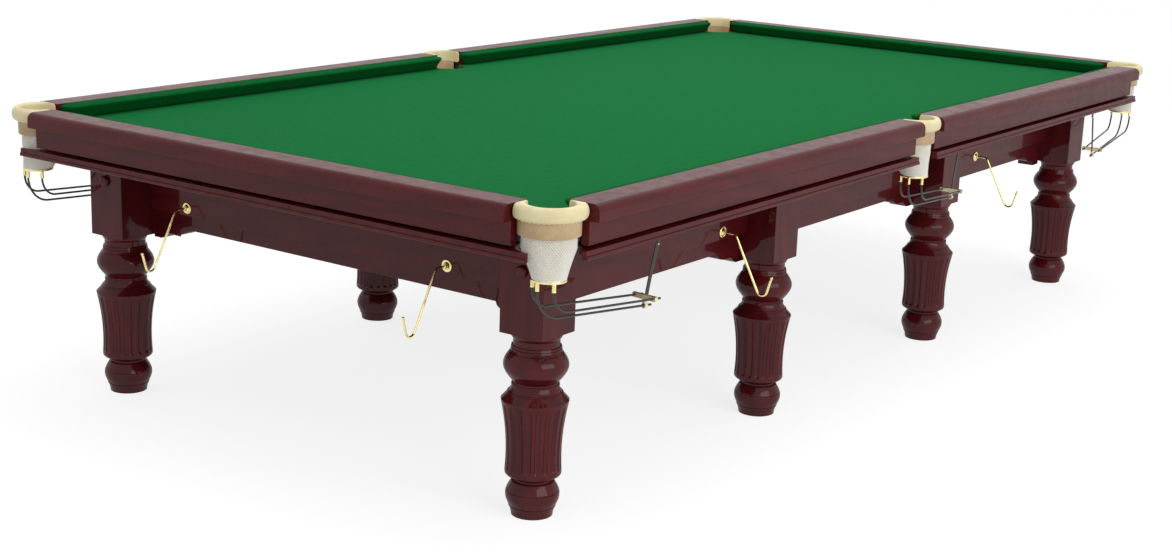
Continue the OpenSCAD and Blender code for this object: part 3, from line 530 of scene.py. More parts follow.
@dataclass(frozen=True)
class VarnishedWood(Finish):
    """Dark red mahogany under a thick gloss varnish."""

    grain: Grain = Grain.ALONG_X
    dark: tuple[float, float, float] = (0.068, 0.0046, 0.0064)
    light: tuple[float, float, float] = (0.122, 0.0080, 0.0105)

    def dress(self, g: Graph, shader: bpy.types.Node, place: Socket) -> None:
        """Banded colour, dark pores, and a clear coat with faint unevenness."""
        vector = g.mapped(place, self.grain.value)
        figure = g.group(timber_figure(), {"Vector": vector, "Bands": 9.0})
        tone = g.mix(figure.outputs["Figure"], rgba(self.dark), rgba(self.light))
        pores = tuple(0.72 * c for c in self.dark)
        colour = g.mix(figure.outputs["Pores"], rgba(pores), tone)
        rough = g.spread(g.noise(place, 30.0, 2.0), 0.3, 0.7, 0.30, 0.42)
        g.feed(shader, {"Base Color": colour, "Roughness": rough, "Specular IOR Level": 0.05,
                        "Coat Weight": 0.17, "Coat Roughness": 0.04, "Coat IOR": 1.9})
        self.bump(g, shader, g.noise(place, 9.0, 2.0), 0.06, 0.002)


@dataclass(frozen=True)
class PlainTimber(Finish):
    """Sawn and stained timber without varnish."""

    grain: Grain = Grain.ALONG_Y

    def dress(self, g: Graph, shader: bpy.types.Node, place: Socket) -> None:
        """Banded brown colour with raised grain."""
        figure = g.group(timber_figure(), {"Vector": g.mapped(place, self.grain.value), "Bands": 12.0})
        colour = g.mix(figure.outputs["Figure"], (0.060, 0.024, 0.013, 1), (0.135, 0.062, 0.036, 1))
        rough = g.spread(figure.outputs["Pores"], 0.0, 1.0, 0.75, 0.6)
        g.feed(shader, {"Base Color": colour, "Roughness": rough})
        self.bump(g, shader, figure.outputs["Figure"], 0.3, 0.001)


@dataclass(frozen=True)
class WoolCloth(Finish):
    """Napped green wool, finely speckled."""

    dark: tuple[float, float, float] = (0.0045, 0.146, 0.034)
    light: tuple[float, float, float] = (0.0095, 0.184, 0.048)

    def dress(self, g: Graph, shader: bpy.types.Node, place: Socket) -> None:
        """Speckled colour, soft sheen and a fibre bump."""
        mottle = g.group(uneven_tone(), {"Vector": place, "Size": 40.0})
        fibre = g.noise(place, 1500.0, 2.0, 0.7)
        share = g.math("ADD+", g.math("MULTIPLY", mottle.outputs["Tone"], 0.45),
                       g.math("MULTIPLY", fibre, 0.5))
        g.feed(shader, {"Base Color": g.mix(share, rgba(self.dark), rgba(self.light)),
                        "Roughness": g.spread(fibre, 0.2, 0.8, 0.82, 0.95), "Specular IOR Level": 0.03,
                        "Sheen Weight": 0.04, "Sheen Roughness": 0.4, "Sheen Tint": (0.25, 0.75, 0.40, 1)})
        self.bump(g, shader, fibre, 0.25, 0.0004)


@dataclass(frozen=True)
class Leather(Finish):
    """Pocket leather with a fine pebble and worn tone."""

    dark: tuple[float, float, float] = (0.90, 0.76, 0.42)
    light: tuple[float, float, float] = (0.98, 0.90, 0.56)
    rough: float = 0.45

    def dress(self, g: Graph, shader: bpy.types.Node, place: Socket) -> None:
        """Mottled colour and pebbled bump."""
        mottle = g.group(uneven_tone(), {"Vector": place, "Size": 22.0})
        pebble = g.group(rounded_cells(), {"Vector": place, "Cells": 900.0})
        tone = g.math("ADD+", g.math("MULTIPLY", mottle.outputs["Tone"], 0.8),
                      g.math("MULTIPLY", pebble.outputs["Height"], 0.2))
        rough = g.spread(mottle.outputs["Tone"], 0.0, 1.0, self.rough + 0.08, self.rough - 0.06)
        g.feed(shader, {"Base Color": g.mix(tone, rgba(self.dark), rgba(self.light)), "Roughness": rough})
        self.bump(g, shader, pebble.outputs["Height"], 0.25, 0.0004)


@dataclass(frozen=True)
class Cotton(Finish):
    """Twisted cotton cord and thread."""

    dark: tuple[float, float, float] = (0.95, 0.91, 0.78)
    light: tuple[float, float, float] = (0.99, 0.98, 0.91)

    def dress(self, g: Graph, shader: bpy.types.Node, place: Socket) -> None:
        """Mottled cream with a fibre bump."""
        mottle = g.group(uneven_tone(), {"Vector": place, "Size": 60.0})
        fibre = g.noise(place, 900.0, 2.0, 0.7)
        g.feed(shader, {"Base Color": g.mix(mottle.outputs["Tone"], rgba(self.dark), rgba(self.light)),
                        "Roughness": g.spread(fibre, 0.2, 0.8, 0.8, 0.95), "Sheen Weight": 0.2})
        self.bump(g, shader, fibre, 0.4, 0.0004)


@dataclass(frozen=True)
class Metal(Finish):
    """Solid metal with handling marks."""

    colour: tuple[float, float, float] = (0.86, 0.74, 0.36)
    worn: tuple[float, float, float] = (0.62, 0.48, 0.20)
    smooth: float = 0.16
    dull: float = 0.30

    def dress(self, g: Graph, shader: bpy.types.Node, place: Socket) -> None:
        """Tone and roughness vary together, with faint fine marks."""
        mottle = g.group(uneven_tone(), {"Vector": place, "Size": 35.0})
        marks = g.noise(g.mapped(place, (1.0, 1.0, 0.2)), 700.0, 2.0)
        share = g.spread(mottle.outputs["Tone"], 0.55, 1.0, 0.0, 0.6)
        rough = g.spread(mottle.outputs["Tone"], 0.2, 0.9, self.smooth, self.dull)
        g.feed(shader, {"Base Color": g.mix(share, rgba(self.colour), rgba(self.worn)), "Roughness": rough,
                        "Metallic": 1.0})
        self.bump(g, shader, marks, 0.05, 0.0003)


@dataclass(frozen=True)
class Coated(Finish):
    """A thin even skin over another material: paint, plastic coating, dark leather or rubber."""

    colour: tuple[float, float, float] = (0.012, 0.012, 0.013)
    worn: tuple[float, float, float] = (0.035, 0.034, 0.034)
    smooth: float = 0.28
    dull: float = 0.45
    cells: float = 900.0
    relief: float = 0.12

    def dress(self, g: Graph, shader: bpy.types.Node, place: Socket) -> None:
        """Dark colour that rubs lighter in places, over a fine pebble."""
        mottle = g.group(uneven_tone(), {"Vector": place, "Size": 30.0})
        pebble = g.group(rounded_cells(), {"Vector": place, "Cells": self.cells})
        g.feed(shader, {"Base Color": g.mix(mottle.outputs["Tone"], rgba(self.colour), rgba(self.worn)),
                        "Roughness": g.spread(mottle.outputs["Tone"], 0.0, 1.0, self.smooth, self.dull)})
        self.bump(g, shader, pebble.outputs["Height"], self.relief, 0.0004)


@dataclass(frozen=True)
class Slate(Finish):
    """Ground slate with faint cloudy layers."""

    def dress(self, g: Graph, shader: bpy.types.Node, place: Socket) -> None:
        """Grey colour in layers, slightly rough."""
        mottle = g.group(uneven_tone(), {"Vector": g.mapped(place, (1.0, 1.0, 6.0)), "Size": 9.0})
        grit = g.noise(place, 500.0, 2.0)
        colour = g.mix(mottle.outputs["Tone"], (0.045, 0.052, 0.060, 1), (0.085, 0.094, 0.104, 1))
        g.feed(shader, {"Base Color": colour, "Roughness": g.spread(grit, 0.3, 0.7, 0.55, 0.75)})
        self.bump(g, shader, grit, 0.3, 0.0005)


WOOD_X = VarnishedWood("varnished_wood_along_x", Grain.ALONG_X)
WOOD_Y = VarnishedWood("varnished_wood_along_y", Grain.ALONG_Y)
WOOD_Z = VarnishedWood("varnished_wood_upright", Grain.ALONG_Z)
TIMBER = PlainTimber("sawn_timber")
CLOTH = WoolCloth("bed_wool")
# The cushion wool is the bed wool made darker: painted shade on the cushions.
CUSHION_CLOTH_PAINTED_SHADE = WoolCloth("cushion_wool_painted_shade", (0.0012, 0.096, 0.018), (0.0040, 0.128, 0.029))
PAD_LEATHER = Leather("pad_leather")
BAND_LEATHER = Leather("band_leather", (0.50, 0.34, 0.18), (0.68, 0.49, 0.28), 0.5)
COTTON = Cotton("net_cotton")
THREAD = Cotton("stitch_thread", (0.70, 0.62, 0.45), (0.95, 0.92, 0.80))
BRASS = Metal("polished_brass")
SATIN_BRASS = Metal("satin_brass", (0.82, 0.74, 0.46), (0.64, 0.56, 0.34), 0.42, 0.60)
STEEL = Metal("zinc_steel", (0.56, 0.57, 0.58), (0.38, 0.38, 0.37), 0.30, 0.48)
ROD_COAT = Coated("rod_coating")
IRON = Coated("pocket_iron_black", (0.020, 0.020, 0.021), (0.045, 0.042, 0.040), 0.5, 0.7, 500.0, 0.3)
STRAP = Coated("strap_leather", (0.016, 0.016, 0.017), (0.050, 0.048, 0.046), 0.45, 0.6, 1100.0, 0.25)
RUBBER = Coated("cushion_rubber", (0.018, 0.018, 0.018), (0.040, 0.038, 0.036), 0.6, 0.8, 700.0, 0.15)
SLATE = Slate("ground_slate")


@dataclass(frozen=True)
class Piece:
    """How a new piece goes into the scene."""

    name: str
    finish: Finish
    slot: str
    body: str = "table"
    stands_for: tuple[str, ...] = ()
    bevel: float = 0.0
    sharp: float = 38.0

    def make(self, skin: Skin) -> bpy.types.Object:
        """Builds the piece's object from its skin and joins it to the frame.

        Args:
            skin: Points and faces of the piece.

        Returns:
            The object, riding on its body.
        """
        made = bpy.data.objects.new(self.name, skin.mesh(self.name, self.bevel, self.sharp))
        bpy.context.scene.collection.objects.link(made)
        made.data.materials.append(self.finish.material())
        if isinstance(self.finish, VarnishedWood):
            made.modifiers.new("even_shading", "WEIGHTED_NORMAL").keep_sharp = True
        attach(made, self.body)
        if self.stands_for:
            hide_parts(*self.stands_for)
        log.info("%s: %d faces", self.name, len(made.data.polygons))
        return made


# The table


@dataclass(frozen=True)
class Plan:
    """Sizes that several assemblies share."""

    half_length: float = 1.7845
    half_width: float = 0.889
    bed_z: float = 0.804
    rail_z: float = 0.851
    slate_z: float = 0.756
    board_z: float = 0.720
    cloth_line: float = 0.034
    rail_corner_gap: float = 0.034
    rail_middle_gap: float = 0.066
    corner_in: float = 0.020
    middle_in: float = 0.041
    fall_radius: float = 0.060
    back_radius: float = 0.0795
    leg_x: tuple[float, float, float, float] = (-1.648, -0.550, 0.550, 1.648)
    leg_y: float = 0.764
    block_half: float = 0.067
    beam_y: float = 0.713
    beam_x: float = 1.581

    def pockets(self) -> list[tuple[str, bool, Array, Array]]:
        """Name, kind, centre and quadrant matrix of each pocket.

        Returns:
            One entry for each of the six pockets; the kind is True at a corner.
        """
        corner = col(self.half_length + self.corner_in, self.half_width + self.corner_in, 0)
        middle = col(0, self.half_width + self.middle_in, 0)
        made = []
        for side, y in (("near", -1), ("far", 1)):
            for name, x in (("left", -1), ("right", 1)):
                made.append((f"{side}_{name}", True, corner, quadrant(x, y)))
            made.append((f"{side}_middle", False, middle, quadrant(1, y)))
        return made


PLAN = Plan()


@dataclass(frozen=True)
class Legs:
    """Turned and fluted legs with square blocks."""

    base_radius: float = 0.0532
    base_swell: float = 0.0061
    base_top: float = 0.0254
    bead_low_radius: float = 0.0593
    bead_top_radius: float = 0.055
    bead_middle: float = 0.0571
    bead_radius: float = 0.069
    bead_top: float = 0.090
    groove_radius: float = 0.049
    groove_low: float = 0.0925
    groove_top: float = 0.097
    cove_rise: float = 0.017
    shaft_radius: float = 0.0723
    shaft_sag: float = 0.0072
    shaft_low: float = 0.118
    barrel_radius: float = 0.086
    barrel_top: float = 0.302
    shoulder_low: float = 0.306
    shoulder_top: float = 0.352
    neck_radius: float = 0.0575
    collar_low: float = 0.358
    collar_top: float = 0.433
    collar_low_radius: float = 0.0625
    collar_spread: float = 0.0015
    collar_middle: float = 0.0635
    collar_radius: float = 0.083
    cap_radius: float = 0.059
    cap_low: float = 0.449
    cap_top: float = 0.462
    flare_out: float = 0.0075
    flare_rise: float = 0.0165
    block_low: float = 0.477
    flutes: int = 20
    flute_radius: float = 0.0085
    flute_depth: float = 0.004
    flute_end: float = 0.012
    flutes_low: float = 0.105
    flutes_high: float = 0.312
    fillets: tuple[tuple[float, float, float], ...] = (
        (0.0215, 0.0258, 0.0012), (0.0640, 0.0668, -0.0012), (0.3235, 0.3275, 0.0016),
        (0.3425, 0.3480, 0.0024), (0.4265, 0.4292, -0.0012), (0.4345, 0.4388, 0.0016),
        (0.4405, 0.4465, 0.0028))
    fillet_edge: float = 0.0006

    def profile(self) -> Array:
        """The turned profile as (radius, height) pairs.

        Beads are half waves, coves are quarter waves and the shaft is a hollow arc:
        radius = straight line from the shaft's foot to the barrel - sag * 4 s (1 - s).
        """
        s = np.linspace(0, 1, 13)
        arch, quarter = np.sin(math.pi * s), np.sin(math.pi / 2 * s)
        base = np.stack([self.base_radius + self.base_swell * s**1.5, self.base_top * s], 1)
        bead = np.stack([
            self.bead_low_radius + (self.bead_top_radius - self.bead_low_radius) * s
            + (self.bead_radius - self.bead_middle) * arch,
            self.base_top + (self.bead_top - self.base_top) * s], 1)
        groove = eased([(self.bead_top_radius, self.bead_top, 0), (self.groove_radius, self.groove_low, 0),
                        (self.groove_radius, self.groove_top, 0)])
        cove = np.stack([self.groove_radius + (self.shaft_radius - self.groove_radius) * quarter,
                         self.groove_top + self.cove_rise * s], 1)
        t = np.concatenate([np.linspace(0, 0.10, 9), np.linspace(0.12, 0.88, 20), np.linspace(0.90, 1, 9)])
        line = self.shaft_radius + (self.barrel_radius - self.shaft_radius) * t
        shaft = np.stack([line - self.shaft_sag * 4 * t * (1 - t),
                          self.shaft_low + (self.barrel_top - self.shaft_low) * t], 1)
        edge = col(self.barrel_radius + 0.0002, self.barrel_top + 0.002)[None]
        shoulder = np.stack([self.barrel_radius + (self.neck_radius - self.barrel_radius) * quarter,
                             self.shoulder_low + (self.shoulder_top - self.shoulder_low) * s], 1)
        collar = np.stack([
            self.collar_low_radius + self.collar_spread * s
            + (self.collar_radius - self.collar_middle) * arch,
            self.collar_low + (self.collar_top - self.collar_low) * s], 1)
        rise = eased([(self.cap_radius, self.cap_low, 0), (self.cap_radius, self.cap_top, 0)])
        flare = np.stack([self.cap_radius + self.flare_out * quarter, self.cap_top + self.flare_rise * s], 1)
        return self.filleted(np.concatenate([base, bead[1:], groove[1:], cove, shaft, edge, shoulder, collar,
                                             rise, flare]))

    def filleted(self, line: Array) -> Array:
        """The profile with its flat fillets and fine grooves: inside a band, radius = plain radius + out.

        Args:
            line: The plain profile as (radius, height) pairs.

        Returns:
            The profile with four more points for each band.
        """
        bands = np.array(self.fillets)
        low, high = bands[:, 0], bands[:, 1]
        steps = [low, low + self.fillet_edge, high - self.fillet_edge, high]
        z = np.unique(np.concatenate([line[:, 1], *steps]))
        inside = (z[:, None] > low + self.fillet_edge / 2) & (z[:, None] < high - self.fillet_edge / 2)
        return np.stack([np.interp(z, line[:, 1], line[:, 0]) + inside @ bands[:, 2], z], 1)

    def fluted(self) -> Skin:
        """The turned part with its flutes.

        Across a flute the radius is R + c - sqrt(f * f - x * x - e * e), with c the height of the cutter's
        axis over the surface, x the distance from the flute's middle and e the distance past its end.
        """
        profile = self.profile()
        r, z = profile[:, 0:1], profile[:, 1:2]
        offset = self.flute_radius - self.flute_depth
        half = math.sqrt(self.flute_radius**2 - offset**2)
        pitch = TAU / self.flutes
        inner = np.clip(half / np.clip(r, 0.068, 0.09), 0, 0.47 * pitch)
        share = np.array([-1, -0.75, -0.45, -0.15, 0.15, 0.45, 0.75, 1.0])
        within = share[None, :] * inner
        land = inner + (pitch / 2 - inner) * np.array([0.5])[None, :]
        local = np.concatenate([within, land], 1)
        starts = (np.arange(self.flutes) + 0.5) * pitch
        angle = (starts[None, :, None] + local[:, None, :]).reshape(len(profile), -1)
        x = r * np.sin(local)
        low = self.shaft_low + self.flute_end
        high = self.barrel_top - self.flute_end
        end = np.maximum(np.maximum(low - z, z - high), 0)
        inside = self.flute_radius**2 - x**2 - end**2
        cut = np.sqrt(np.maximum(inside, 0)) - offset
        fluted = (inside > 0) & (z > self.flutes_low) & (z < self.flutes_high)
        depth = np.where(fluted, np.maximum(cut, 0), 0)
        radius = r - np.tile(depth, (1, self.flutes))
        grid = np.stack([radius * np.cos(angle), radius * np.sin(angle), np.broadcast_to(z, angle.shape)], 2)
        skin = Skin()
        skin.grid(grid)
        return skin

    def block(self, back: float) -> Skin:
        """The square block, from y = back to its outer face, with eased edges."""
        h = PLAN.block_half
        loops = []
        height = PLAN.board_z - self.block_low
        for inset, z in ((0.0014, 0.0), (0.0004, 0.0004), (0.0, 0.0014), (0.0, height)):
            corners = [(-h + inset, back + inset), (h - inset, back + inset), (h - inset, h - inset),
                       (-h + inset, h - inset)]
            loops.append((eased([(*c, 0.0018) for c in corners], 3), self.block_low + z))
        return prism(loops)

    def build(self) -> None:
        """Makes the eight legs."""
        shaft = self.fluted()
        for side, y in (("near", -1), ("far", 1)):
            for i, x in enumerate(PLAN.leg_x):
                corner = abs(x) > 1
                leg = Skin()
                leg.join(shaft)
                leg.join(self.block(-PLAN.block_half if corner else PLAN.beam_y - PLAN.leg_y))
                placed = leg.placed(quadrant(1 if x > 0 else -1, y), col(x, y * PLAN.leg_y, 0))
                node = f"leg_{side}_{i + 1}"
                Piece(f"{node}_turned", WOOD_Z, "wood", stands_for=(node,), sharp=30).make(placed)


@dataclass(frozen=True)
class Rails:
    """Wooden rails with an overhanging cap and a skirt, and the cushions on their inner side."""

    skirt_out: float = 0.096
    skirt_thick: float = 0.022
    skirt_z: float = 0.748
    cap_out: float = 0.124
    cap_z: float = 0.808
    cap_radius: float = 0.020
    cushion_corner_gap: float = 0.043
    cushion_middle_gap: float = 0.060
    nose_height: float = 0.036

    def section(self) -> Array:
        """Outline of a rail as (distance from the nose line, height)."""
        t = PLAN.cloth_line
        back = self.skirt_out - self.skirt_thick
        return eased([(back, PLAN.bed_z, 0), (t + 0.0004, PLAN.bed_z, 0), (t + 0.0004, PLAN.rail_z, 0.0012),
                      (self.cap_out, PLAN.rail_z, self.cap_radius), (self.cap_out, self.cap_z, 0.002),
                      (self.skirt_out + 0.001, self.cap_z, 0), (self.skirt_out, self.cap_z - 0.0015, 0),
                      (self.skirt_out, self.skirt_z, 0.0018), (back, self.skirt_z, 0.001)], 8)

    def cushion_section(self) -> Array:
        """Outline of a cushion as (distance from the cloth line, height), from the rail round the nose."""
        t = PLAN.cloth_line
        nose, top, low = PLAN.bed_z + self.nose_height, PLAN.rail_z, PLAN.bed_z
        shape = smooth_through(
            [(t - 0.0006, top - 0.0022), (t - 0.0016, top - 0.0003), (t - 0.006, top - 0.0012),
             (0.006, top - 0.0055), (0.0020, nose + 0.0040), (0.0004, nose + 0.0018), (0.0, nose),
             (0.0009, nose - 0.0026), (0.0080, nose - 0.0130), (0.0215, low + 0.0026)], 5)
        under = np.array([[0.024, low + 0.002], [t - 0.0006, low + 0.002]])
        outline = np.concatenate([shape, under])
        return np.stack([t - outline[:, 0], outline[:, 1]], 1)

    def straight(self, section: Array, x0: float, x1: float) -> Skin:
        """A section of (t, z) pairs run along X beside the far nose line."""
        loops = [np.stack([np.full(len(section), x), PLAN.half_width + section[:, 0], section[:, 1]], 1)
                 for x in (x0, x1)]
        skin = Skin()
        skin.grid(np.stack(loops))
        return skin

    def cushion(self, x0: float, x1: float) -> Skin:
        """A cushion along X whose ends turn a quarter round away from the nose line."""
        section = self.cushion_section()
        turn = np.linspace(0, math.pi / 2, 13)
        ends, t = [], PLAN.cloth_line
        for x, sign in ((x0 + t, -1.0), (x1 - t, 1.0)):
            a = turn[::-1] if sign < 0 else turn
            reach = section[None, :, 0]
            px = x + sign * reach * np.sin(a)[:, None]
            py = PLAN.half_width + t - reach * np.cos(a)[:, None]
            ends.append(np.stack([px, py, np.broadcast_to(section[:, 1], px.shape)], 2))
        skin = Skin()
        skin.grid(np.concatenate(ends))
        return skin

    def across(self, skin: Skin) -> Skin:
        """Turns a shape from the far long side to the top end."""
        return skin.placed(Y_TO_X, col(PLAN.half_length - PLAN.half_width, 0, 0))

    def build(self) -> None:
        """Makes the six rails and their cushions."""
        section = self.section()
        long_rail = self.straight(section, PLAN.rail_middle_gap, PLAN.half_length - PLAN.rail_corner_gap)
        y1 = PLAN.half_width - PLAN.rail_corner_gap
        end_rail = self.across(self.straight(section, -y1, y1))
        for side, y in (("near", -1), ("far", 1)):
            for name, x in (("left", -1), ("right", 1)):
                node = f"rail_{side}_{name}"
                Piece(f"{node}_capping", WOOD_X, "wood", stands_for=(node,)).make(
                    long_rail.placed(quadrant(x, y), NO_SHIFT))
        for name, x in (("baulk", -1), ("top", 1)):
            Piece(f"rail_{name}_capping", WOOD_Y, "wood", stands_for=(f"rail_{name}",)).make(
                end_rail.placed(quadrant(x, 1), NO_SHIFT))
        c1 = PLAN.half_length - self.cushion_corner_gap
        long_cushion = self.cushion(self.cushion_middle_gap, c1)
        c2 = PLAN.half_width - self.cushion_corner_gap
        end_cushion = self.across(self.cushion(-c2, c2))
        for name, skin in (("cushions_long", mirrored(long_cushion)),
                           ("cushions_end", mirrored(end_cushion, ways_y=(1,)))):
            piece = Piece(f"{name}_covered", CUSHION_CLOTH_PAINTED_SHADE, "cushion_cloth", stands_for=(name,), sharp=50)
            piece.make(skin)


@dataclass(frozen=True)
class Bed:
    """The bed cloth, stretched over the slates and turned down into the pockets."""

    edge_out: float = 0.0685
    thick: float = 0.003
    roll: float = 0.007

    def outline(self, ease: float) -> Array:
        """The cloth's outline, with the pocket cuts wider by the given ease.

        Args:
            ease: How far the outline stays back from the edge of the fall.

        Returns:
            Points of the outline, counter-clockwise.
        """
        corner = self.corner_cut(ease)
        middle = self.middle_cut(ease)
        quarter = np.concatenate([middle, corner])
        right = np.concatenate([quarter * [1, -1], quarter[::-1]])
        left = right[::-1] * [-1, 1]
        return np.concatenate([right, left])

    def middle_cut(self, ease: float) -> Array:
        """Half of a middle pocket's cut, from its axis to the long edge."""
        cy = PLAN.half_width + PLAN.middle_in
        radius = PLAN.fall_radius + ease
        a = np.linspace(-math.pi / 2, 0, 15)
        fall = on_arc(radius, a) + col(0, cy)
        fall[0, 0] = 0.0
        back = PLAN.back_radius + ease
        edge = PLAN.half_width + self.edge_out
        b = np.linspace(0, math.asin((edge - cy) / back), 5)
        return np.concatenate([fall, on_arc(back, b) + col(0, cy)])

    def corner_cut(self, ease: float) -> Array:
        """A corner pocket's cut, from the long edge to the end edge."""
        cx, cy = PLAN.half_length + PLAN.corner_in, PLAN.half_width + PLAN.corner_in
        back, fall = PLAN.back_radius + ease, PLAN.fall_radius + ease
        reach = self.edge_out - PLAN.corner_in
        start = math.pi - math.asin(reach / back)
        b = np.linspace(start, math.radians(135), 5)
        a = np.linspace(math.radians(135), math.radians(315), 31)
        c = np.linspace(math.radians(315), math.radians(450) - start, 5)
        return np.concatenate([on_arc(back, b), on_arc(fall, a), on_arc(back, c)]) + [cx, cy]

    def build(self) -> None:
        """Makes the cloth: a flat top, a quarter-round turn into each pocket and a flat underside."""
        a = np.linspace(0, math.pi / 2, 5)
        loops = [(self.outline(1.5 * self.roll), PLAN.bed_z)]
        loops += [(self.outline(self.roll * (1 - math.sin(v))), PLAN.bed_z - self.roll * (1 - math.cos(v)))
                  for v in a]
        low = PLAN.bed_z - self.roll
        inner = self.roll + self.thick
        loops += [(self.outline(inner), low), (self.outline(inner), PLAN.bed_z - self.thick)]
        skin = prism(loops)
        piece = Piece("bed_cloth_stretched", CLOTH, "bed_cloth", stands_for=("bed_cloth",), sharp=50)
        made = piece.make(skin)


@dataclass(frozen=True)
class Pockets:
    """Leather pads and bands, stitched, with knotted nets below."""

    pad_radius: float = 0.0925
    pad_top: float = 0.854
    pad_low: float = 0.814
    mouth_radius: float = 0.058
    mouth_off: float = 0.015
    band_radius: float = 0.077
    band_thick: float = 0.005
    band_low: float = 0.776
    lining: float = 0.0025
    net_radius: float = 0.0652
    net_waist: float = 0.742
    ring_radius: float = 0.0398
    ring_z: float = 0.6762
    ring_off: float = 0.025
    strand: float = 0.00125
    strands: int = 60
    rows: int = 13
    end_round: float = 0.009
    stitch: float = 0.009
    stitch_gap: float = 0.0028
    stitch_thick: float = 0.0009
    hem_thick: float = 0.0019
    seam: float = 0.0008
    tip_from: float = 0.86
    band_half: float = 0.0652
    band_reach: float = 88.5
    band_wave: float = 0.00035
    lining_reach: tuple[float, float] = (86.0, 84.0)
    net_top_in: float = 0.7548
    net_top_out: float = 0.7775

    def rim(self, corner: bool, steps: int = 61) -> tuple[Array, Array]:
        """Inner and outer edge of the pad, seen from above, with the outward direction along +x.

        The inner edge follows the mouth's circle and ends in the corners beside the cushions;
        the outer edge is a circle round the pocket's centre, between the two rail ends.

        Args:
            corner: True for a corner pocket.
            steps: Number of stations.

        Returns:
            The two edges as rows of (x, y).
        """
        if corner:
            side = PLAN.corner_in + PLAN.rail_corner_gap - self.seam
            tip = turn_z(-45)[:2, :2] @ col(-side, PLAN.cloth_line + self.seam - PLAN.corner_in)
            end = turn_z(-45)[:2, :2] @ col(-side, math.sqrt(self.pad_radius**2 - side**2))
        else:
            side = PLAN.rail_middle_gap - self.seam
            tip = col(PLAN.cloth_line + self.seam - PLAN.middle_in, side)
            end = col(math.sqrt(self.pad_radius**2 - side**2), side)
        # where the mouth's circle comes level with the tip, seen across the pad
        reach = math.atan2(tip[1], tip[0] - self.mouth_off)
        a = np.sin(np.linspace(-0.5, 0.5, steps) * math.pi)
        arc = reach * a
        inner = on_arc(self.mouth_radius, arc) + col(self.mouth_off, 0)
        pull = np.clip((np.abs(a) - self.tip_from) / (1 - self.tip_from), 0, 1) ** 2
        corner_point = np.stack([np.full(steps, tip[0]), np.sign(a) * tip[1]], 1)
        inner = inner * (1 - pull[:, None]) + corner_point * pull[:, None]
        last = math.atan2(end[1], end[0])
        return inner, on_arc(self.pad_radius, last * a)

    def pad(self, corner: bool) -> Skin:
        """The stuffed pad: a bullnose section carried between the two edges, rounded at both ends.

        The section runs along q from the inner edge to the outer one; its width changes and its
        rounded ends keep their size.
        """
        inner, outer = self.rim(corner)
        span = outer - inner
        width = np.linalg.norm(span, axis=1, keepdims=True)
        way = span / width
        top, low = self.pad_top, self.pad_low
        inner_half = smooth_through([(0.0012, low), (0.0, low + 0.006), (0.0, top - 0.012),
                                     (0.0016, top - 0.005), (0.0055, top - 0.0012)], 5)
        outer_half = smooth_through([(-0.0125, top - 0.0008), (-0.006, top - 0.0052), (-0.0014, top - 0.0125),
                                     (0.0, top - 0.0215), (-0.0016, low + 0.0095), (-0.0062, low + 0.0035),
                                     (-0.0150, low)], 5)
        q = np.concatenate([np.broadcast_to(inner_half[:, 0], (len(inner), len(inner_half))),
                            width + outer_half[None, :, 0]], 1)
        z = np.concatenate([inner_half[:, 1], outer_half[:, 1]])
        z = np.broadcast_to(z, q.shape).copy()
        crown = 0.0009 * np.sin(np.pi * np.clip(q / width, 0, 1))
        z += np.where(z > top - 0.003, crown - 0.0009, 0)
        grid = np.concatenate([inner[:, None, :] + way[:, None, :] * q[:, :, None], z[:, :, None]], 2)
        middle = grid.mean(1, keepdims=True)
        run = np.concatenate([[0.0], np.cumsum(np.linalg.norm(np.diff(middle[:, 0], axis=0), axis=1))])
        close = np.clip(1 - np.minimum(run, run[-1] - run) / self.end_round, 0, 1)
        inset = self.end_round * (1 - np.sqrt(1 - close**2))
        half = np.concatenate([width, width, np.full_like(width, top - low)], 1) / 2
        grid = middle + (grid - middle) * (1 - inset[:, None] / half)[:, None, :]
        skin = Skin()
        skin.grid(grid)
        return skin

    def wall(self, centre: float, radius: float, thick: float, reach: float, z0: float, z1: float,
             wave: float) -> Skin:
        """A bent strip of leather, with its outer face on a circle and a slight wave along its lower edge.

        Args:
            centre: Place of the circle's centre on the outward axis.
            radius: Radius of the outer face.
            thick: Thickness.
            reach: Half of the angle that the strip spans, in radians.
            z0: Lower edge.
            z1: Upper edge.
            wave: How far the face wanders in and out.

        Returns:
            The strip.
        """
        a = np.linspace(-reach, reach, 61)
        section = eased([(0, z0, 0.0012), (0, z1, 0.0006), (-thick, z1, 0.0006), (-thick, z0, 0.0012)], 3)
        share = (z1 - section[:, 1]) / (z1 - z0)
        drift = wave * (np.sin(7 * a + 0.6) + 0.6 * np.sin(13 * a))[:, None] * share[None, :]
        flare = wave * 0.8 * share[None, :] ** 2
        r = radius + section[None, :, 0] + drift + flare - wave * 2.2
        grid = np.stack([centre + r * np.cos(a)[:, None], r * np.sin(a)[:, None],
                         np.broadcast_to(section[:, 1], r.shape)], 2)
        skin = Skin()
        skin.grid(grid)
        return skin

    def stitches(self, reach: float) -> Skin:
        """A row of slack stitches where the band meets the pad, each a thin spindle bent to the band."""
        pitch = self.stitch + self.stitch_gap
        radius = self.band_radius + 0.0004
        count = int(2 * reach * radius / pitch)
        s = np.linspace(-0.5, 0.5, 7)
        thick = self.stitch_thick * np.sqrt(np.clip(1 - (2 * s) ** 4, 0.04, 1))
        skin = Skin()
        for i in range(count):
            middle = (i - (count - 1) / 2) * pitch / radius
            a = middle + s * self.stitch / radius
            path = np.stack([radius * np.cos(a), radius * np.sin(a),
                             self.pad_low - 0.0006 + 0.0007 * np.sin(9.0 * i) * np.ones(7)], 1)
            path[:, :2] += on_arc(1.0, a) * 0.0007 * np.cos(math.pi * s)[:, None]
            skin.grid(swollen(path, circle(1.0, 6), thick))
        return skin

